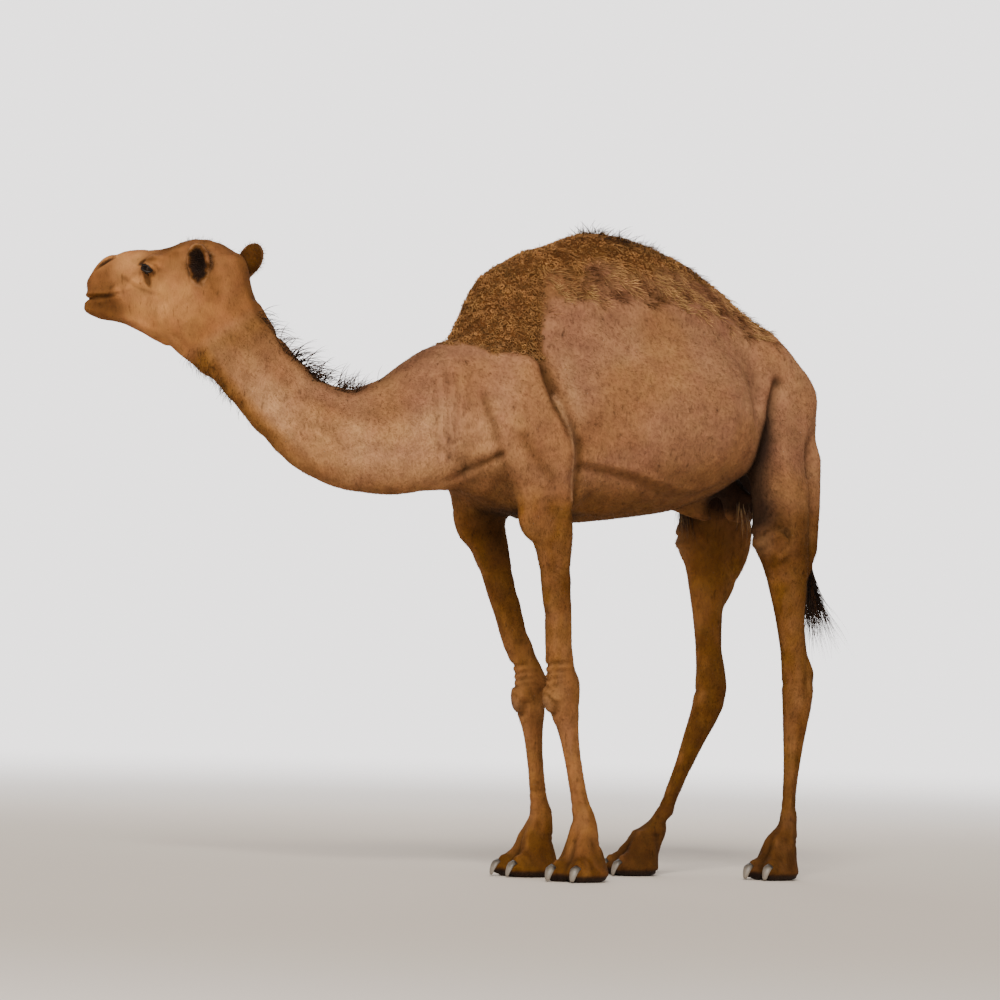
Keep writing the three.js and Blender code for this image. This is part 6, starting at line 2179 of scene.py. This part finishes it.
def nail_horn(name, leg, side, material):
    """A toe's nail: an arched claw from the skin down to the ground. Along runs from its root to its tip."""
    _, across = foot_ways(leg)
    middles = [on_foot(leg, forward, side * 0.49, up) for forward, up, _, _ in NAIL_RINGS]
    ways = rows_unit(np.gradient(np.array(middles), axis=0))
    around = 16
    points, along = [], []
    for i, (_, _, wide, high) in enumerate(NAIL_RINGS):
        over = np.cross(ways[i], across)
        over = over if over[2] > 0 else -over
        for j in range(around):
            angle = 2.0 * math.pi * j / around
            rise = math.sin(angle)
            arch = (1.0 - 0.35 * abs(math.cos(angle))) * rise if rise > 0 else 0.30 * rise
            points.append(middles[i] + across * 1.15 * wide * math.cos(angle) + over * high * arch)
            along.append(i / (len(NAIL_RINGS) - 1))
    ends = [tuple(range(around))[::-1], tuple(range(len(points) - around, len(points)))]
    made = mesh_object(name, points, ends + tube_faces(0, around, len(NAIL_RINGS)), material)
    keep_mark(made.data, "Along", "FLOAT", along)
    return made


def nail_material(paint):
    """Pale horn, stained dark where it leaves the skin, with a dark line along its middle and fine ridges."""
    material, tree, shader = new_material("camel_nail")
    where = tree.nodes.new("ShaderNodeTexCoord")
    ridges = node(tree, "ShaderNodeTexNoise", [(where.outputs["Object"], "Vector")], scale=260.0, detail=3.0)
    stain = node(tree, "ShaderNodeTexNoise", [(where.outputs["Object"], "Vector")], scale=70.0, detail=3.0)
    along = attribute(tree, "Along")
    age = math_node(tree, "ADD", along.outputs["Fac"], math_node(tree, "MULTIPLY", stain.outputs[0], 0.5))
    ramp = node(tree, "ShaderNodeValToRGB", [(age, "Fac")])
    root, tip = ramp.color_ramp.elements
    root.position, root.color = 0.42, opaque(paint.nail, 0.10)
    tip.position, tip.color = 0.80, opaque(paint.nail)
    tree.links.new(ramp.outputs[0], shader.inputs["Base Color"])
    add_bump(tree, shader, ridges.outputs[0], 0.5, 0.0012)
    set_values(shader, Roughness=0.42)
    return material


# ================================================================== stage
def aim(thing, at, target, roll=0.0):
    """Stands a light or camera at a point, looking at another, turned about its own line of sight."""
    ahead = unit(target - at)
    right = unit(np.cross(ahead, UP))
    over = np.cross(right, ahead)
    c, s = math.cos(roll), math.sin(roll)
    turned = Matrix([right * c + over * s, over * c - right * s, -ahead]).transposed()
    thing.matrix_world = Matrix.Translation(Vector(at)) @ turned.to_4x4()


def add_light(name, kind, at, target, strength, colour):
    """A lamp at a point, aimed at another."""
    light = bpy.data.lights.new(name, kind)
    light.energy = strength
    light.color = colour
    aim(in_scene(name, light), at, target)
    return light


def area_light(name, at, target, size, power, colour):
    """A round soft box."""
    light = add_light(name, "AREA", at, target, power, colour)
    light.shape = "DISK"
    light.size = size


def soft_sun(name, toward, strength, colour):
    """Even light from one way, as from a very large window; toward points to the light."""
    light = add_light(name, "SUN", 8.0 * toward, vec(0.0, 0.0, 0.0), strength, colour)
    light.angle = math.radians(20.0)


def studio_sky(stage):
    """A pale warm surround, brighter toward the horizon, before a plain pale backdrop."""
    world = bpy.data.worlds.new("studio")
    world.use_nodes = True
    tree = world.node_tree
    where = tree.nodes.new("ShaderNodeTexCoord")
    height = node(tree, "ShaderNodeSeparateXYZ", [(where.outputs["Generated"], 0)])
    band = node(tree, "ShaderNodeMapRange", [(height.outputs[2], "Value")])
    set_values(band, From_Min=0.16, From_Max=0.45, To_Min=1.5 * stage.sky, To_Max=stage.sky)
    around = tree.nodes["Background"]
    tree.links.new(band.outputs[0], around.inputs["Strength"])
    around.inputs["Color"].default_value = (0.80, 0.74, 0.68, 1.0)
    seen = tree.nodes.new("ShaderNodeBackground")
    seen.inputs["Color"].default_value = (0.80, 0.775, 0.77, 1.0)
    seen.inputs["Strength"].default_value = stage.backdrop
    path = tree.nodes.new("ShaderNodeLightPath")
    shown = [(path.outputs["Is Camera Ray"], 0), (around.outputs[0], 1), (seen.outputs[0], 2)]
    mix = node(tree, "ShaderNodeMixShader", shown)
    tree.links.new(mix.outputs[0], tree.nodes["World Output"].inputs["Surface"])
    return world


def studio_floor():
    """A plain pale floor that fades into the backdrop far from the animal."""
    half = 20.0
    corners = [(-half, -half, 0), (half, -half, 0), (half, half, 0), (-half, half, 0)]
    data = bpy.data.meshes.new("floor")
    data.from_pydata(corners, [], [(0, 1, 2, 3)])
    made = in_scene("floor", data)
    material, tree, shader = new_material("pale_floor")
    where = tree.nodes.new("ShaderNodeTexCoord")
    far = tree.nodes.new("ShaderNodeVectorMath")
    far.operation = "LENGTH"
    tree.links.new(where.outputs["Object"], far.inputs[0])
    fade = node(tree, "ShaderNodeMapRange", [(far.outputs["Value"], "Value")])
    fade.interpolation_type = "SMOOTHSTEP"
    set_values(fade, From_Min=3.0, From_Max=16.0, To_Min=1.0, To_Max=0.0)
    tree.links.new(fade.outputs[0], shader.inputs["Alpha"])
    set_values(shader, Base_Color=(0.82, 0.75, 0.68, 1.0), Roughness=0.9, Specular_IOR_Level=0.1)
    data.materials.append(material)


# ================================================================== what a user can change
def colour_property(name, description, default):
    """A colour that a user can change."""
    return bpy.props.FloatVectorProperty(
        name=name, description=description, default=default, subtype="COLOR", size=3, min=0.0, max=1.0
    )


def number_property(name, description, default, low=0.0, high=1000.0, **kind):
    """A number that a user can change."""
    return bpy.props.FloatProperty(name=name, description=description, default=default, min=low, max=high, **kind)


def length_property(name, description, default, low, high):
    """A length that a user can change."""
    return number_property(name, description, default, low, high, unit="LENGTH", precision=4)


class CamelPaint(bpy.types.PropertyGroup):
    """Colours of the coat, the skin, the eyes and the nails."""

    sand: colour_property("Sand", "Most of the short coat", (0.300, 0.142, 0.070))
    blush: colour_property("Blush", "Broad patches in the short coat", (0.300, 0.134, 0.076))
    # Cream is partly painted light where it brightens the flanks, the shoulders and the sides of the neck.
    cream: colour_property("Cream", "Palest hair, on the flanks, shoulders and cheeks", (0.560, 0.300, 0.150))
    # Ochre is also painted warm light thrown up from below, on the undersides of the chest and belly.
    ochre: colour_property("Ochre", "Warm hair of the legs, throat and belly", (0.262, 0.104, 0.010))
    umber: colour_property("Umber", "Shaded hair low on the body", (0.064, 0.022, 0.001))
    wool: colour_property("Wool", "Curls of the shoulders and hump", (0.385, 0.185, 0.062))
    straw: colour_property("Straw", "Bleached ends of the wool", (0.560, 0.315, 0.120))
    bark: colour_property("Bark", "Dark brown of the mane and the ridge of the back", (0.050, 0.019, 0.005))
    # Pitch is also painted shade in the deep folds, the nostrils and the ears' cups.
    pitch: colour_property("Pitch", "Near black of the lids, nostrils and soles", (0.012, 0.006, 0.004))
    callus: colour_property("Callus", "Horny pads of the knees, stifles and chest", (0.150, 0.085, 0.045))
    eye: colour_property("Eye", "Brown of the iris", (0.014, 0.006, 0.003))
    nail: colour_property("Nail", "Horn of the nails", (0.215, 0.185, 0.155))


class CamelCoat(bpy.types.PropertyGroup):
    """Lengths of the hair."""

    skin_triangles: bpy.props.IntProperty(
        name="Skin triangles", description="How finely the skin is divided", default=194000, min=20000, max=199000
    )
    trunk_length: length_property("Trunk", "Length of the hair on the trunk", 0.020, 0.004, 0.05)
    neck_length: length_property("Neck", "Length of the hair on the neck", 0.017, 0.004, 0.05)
    face_length: length_property("Face", "Length of the hair on the face", 0.0085, 0.003, 0.03)
    leg_length: length_property("Legs", "Length of the hair on the legs", 0.014, 0.004, 0.04)
    wool_length: length_property("Wool", "Length of a curl of the wool", 0.0180, 0.008, 0.06)
    lock_length: length_property("Locks", "Length of the loose locks on the hump", 0.040, 0.01, 0.10)
    mane_length: length_property("Mane", "Length of the longest hairs of the mane", 0.095, 0.01, 0.15)
    ridge_length: length_property("Ridge", "Length of the hairs along the back", 0.042, 0.01, 0.08)
    throat_length: length_property("Throat", "Length of the fringe under the throat", 0.034, 0.01, 0.08)
    ear_length: length_property("Ears", "Length of the hairs round the ears", 0.014, 0.004, 0.03)
    tail_length: length_property("Tail", "Length of the tail's brush", 0.30, 0.05, 0.40)
    seed: bpy.props.IntProperty(name="Seed", description="Where each tuft falls", default=1, min=0)


class CamelStage(bpy.types.PropertyGroup):
    """The studio: distances, lens and lights."""

    distance: length_property("Camera distance", "From the camera to the middle of the camel", 14.0, 5.0, 40.0)
    lens: number_property("Lens", "Focal length", 156.24, 20.0, 400.0, subtype="DISTANCE_CAMERA")
    roll: number_property("Roll", "The camera's own turn", math.radians(1.5), -1.0, 1.0, subtype="ANGLE")
    key_strength: number_property("Key", "Strength of the main light", 2.7)
    fill_power: number_property("Fill", "Power of the light from behind", 120.0, unit="POWER")
    bounce_power: number_property("Bounce", "Power of the low light from the front", 150.0, unit="POWER")
    sky: number_property("Sky", "Strength of the light from above", 0.50)
    backdrop: number_property("Backdrop", "Brightness of the backdrop", 3.15)


# ================================================================== operators
def find_skin():
    """The skin that the first operator built."""
    skin = bpy.data.objects.get("skin")
    if skin is None:
        raise RuntimeError("the skin has to be built first")
    return skin


def paint_material(name, make, *values):
    """The material of that name, made the first time it is asked for."""
    return bpy.data.materials.get(name) or make(*values)


def hair_of(name):
    """The material of the short coat, the wool or the dark hair."""
    if name in bpy.data.materials:
        return bpy.data.materials[name]
    settings = {
        "camel_hair": (220.0, 0.36, 0.84, 1.14, 0.80, 0.0),
        "camel_wool": (220.0, 0.45, 0.26, 1.75, 0.78, 0.0),
        "camel_dark_hair": (200.0, 0.40, 0.80, 1.50, 0.50, 0.05),
    }
    return hair_material(name, *settings[name])


class CAMEL_OT_skin(bpy.types.Operator):
    """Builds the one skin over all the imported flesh, and marks it for the coat."""

    bl_idname = "camel.skin"
    bl_label = "Build the skin"

    def execute(self, context):
        paint, coat = context.scene.camel_paint, context.scene.camel_coat
        skin = build_skin(coat.skin_triangles)
        skin.data.polygons.foreach_set("use_smooth", [True] * len(skin.data.polygons))
        mark_skin(skin.data, paint)
        skin.data.materials.clear()
        skin.data.materials.append(paint_material("camel_skin", skin_material))
        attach(skin, ROOT)
        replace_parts(skin, *SKIN_NODES)
        return {"FINISHED"}


class CAMEL_OT_short_coat(bpy.types.Operator):
    """Grows the short hair of the trunk, neck, head, legs and tail."""

    bl_idname = "camel.short_coat"
    bl_label = "Grow the short coat"

    def execute(self, context):
        skin = find_skin()
        short_coat(skin, find_places(skin.data), context.scene.camel_coat, hair_of("camel_hair"))
        return {"FINISHED"}


class CAMEL_OT_wool(bpy.types.Operator):
    """Grows the curls of the shoulders and hump, and the loose locks over the back."""

    bl_idname = "camel.wool"
    bl_label = "Grow the wool"

    def execute(self, context):
        skin = find_skin()
        scene = context.scene
        wool_coat(skin, find_places(skin.data), scene.camel_paint, scene.camel_coat, hair_of("camel_wool"))
        return {"FINISHED"}


class CAMEL_OT_long_hair(bpy.types.Operator):
    """Grows the mane, the back's ridge, the throat's fringe, the tail's brush, the lashes and the whiskers."""

    bl_idname = "camel.long_hair"
    bl_label = "Grow the long hair"

    def execute(self, context):
        skin = find_skin()
        paint, coat = context.scene.camel_paint, context.scene.camel_coat
        material = hair_of("camel_dark_hair")
        dark_hair(skin, find_places(skin.data), paint, coat, material)
        tail_hairs(skin, paint, coat, material)
        stifle_hairs(skin, paint, coat, material)
        lash_hairs(skin, paint, coat, material)
        return {"FINISHED"}


class CAMEL_OT_eyes(bpy.types.Operator):
    """Sets the eyes and the rims of their lids."""

    bl_idname = "camel.eyes"
    bl_label = "Set the eyes"

    def execute(self, context):
        paint = context.scene.camel_paint
        ball = paint_material("camel_eye", eye_material, paint)
        rim = paint_material("camel_lid", rim_material, paint)
        for name, side in SIDES.items():
            eye = eyeball(f"eyeball_{name}", side, ball)
            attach(eye, ROOT)
            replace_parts(eye, f"eye_{name}")
            lids = lid_rims(f"lid_rims_{name}", side, rim)
            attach(lids, ROOT)
        return {"FINISHED"}


class CAMEL_OT_nails(bpy.types.Operator):
    """Sets the eight nails on the toes."""

    bl_idname = "camel.nails"
    bl_label = "Set the nails"

    def execute(self, context):
        horn = paint_material("camel_nail", nail_material, context.scene.camel_paint)
        for leg in LEGS:
            for toe, side in (("inner", LEFT), ("outer", RIGHT)):
                nail = nail_horn(f"{leg}_{toe}_horn", leg, side, horn)
                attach(nail, ROOT)
                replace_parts(nail, f"{leg}_nail_{toe}")
        return {"FINISHED"}


class CAMEL_OT_stage(bpy.types.Operator):
    """Lays the floor, hangs the lights and stands the camera."""

    bl_idname = "camel.stage"
    bl_label = "Set the stage"

    def execute(self, context):
        scene = context.scene
        stage = scene.camel_stage
        studio_floor()
        middle = vec(-0.147, -0.228, 1.222)
        soft_sun("key", vec(-0.50, -0.64, 0.58), stage.key_strength, (1.0, 0.94, 0.85))
        area_light("fill", vec(3.5, 5.0, 4.5), middle, 5.0, stage.fill_power, (0.95, 0.97, 1.0))
        area_light("bounce", vec(-6.5, -5.0, 0.9), middle, 5.0, stage.bounce_power, (1.0, 0.90, 0.78))
        scene.world = studio_sky(stage)
        lens = bpy.data.cameras.new("camera")
        lens.lens = stage.lens
        lens.sensor_width = 36.0
        camera = in_scene("camera", lens)
        toward = unit(vec(-8.172, -11.689, 0.733) - middle)
        aim(camera, middle + toward * stage.distance, middle, stage.roll)
        scene.camera = camera
        return {"FINISHED"}


OPERATORS = (
    CAMEL_OT_skin,
    CAMEL_OT_short_coat,
    CAMEL_OT_wool,
    CAMEL_OT_long_hair,
    CAMEL_OT_eyes,
    CAMEL_OT_nails,
    CAMEL_OT_stage,
)


class CAMEL_PT_panel(bpy.types.Panel):
    """Lists the steps of the build in order."""

    bl_idname = "CAMEL_PT_panel"
    bl_label = "Camel"
    bl_space_type = "VIEW_3D"
    bl_region_type = "UI"
    bl_category = "Camel"

    def draw(self, context):
        for operator in OPERATORS:
            self.layout.operator(operator.bl_idname)


GROUPS = {"camel_paint": CamelPaint, "camel_coat": CamelCoat, "camel_stage": CamelStage}


def register():
    for group in GROUPS.values():
        bpy.utils.register_class(group)
    for name, group in GROUPS.items():
        setattr(bpy.types.Scene, name, bpy.props.PointerProperty(type=group))
    for operator in OPERATORS:
        bpy.utils.register_class(operator)
    bpy.utils.register_class(CAMEL_PT_panel)


def unregister():
    bpy.utils.unregister_class(CAMEL_PT_panel)
    for operator in reversed(OPERATORS):
        bpy.utils.unregister_class(operator)
    for name, group in GROUPS.items():
        delattr(bpy.types.Scene, name)
        bpy.utils.unregister_class(group)


def main():
    register()
    bpy.ops.camel.skin()
    bpy.ops.camel.short_coat()
    bpy.ops.camel.wool()
    bpy.ops.camel.long_hair()
    bpy.ops.camel.eyes()
    bpy.ops.camel.nails()
    bpy.ops.camel.stage()


if __name__ == "__main__":
    main()
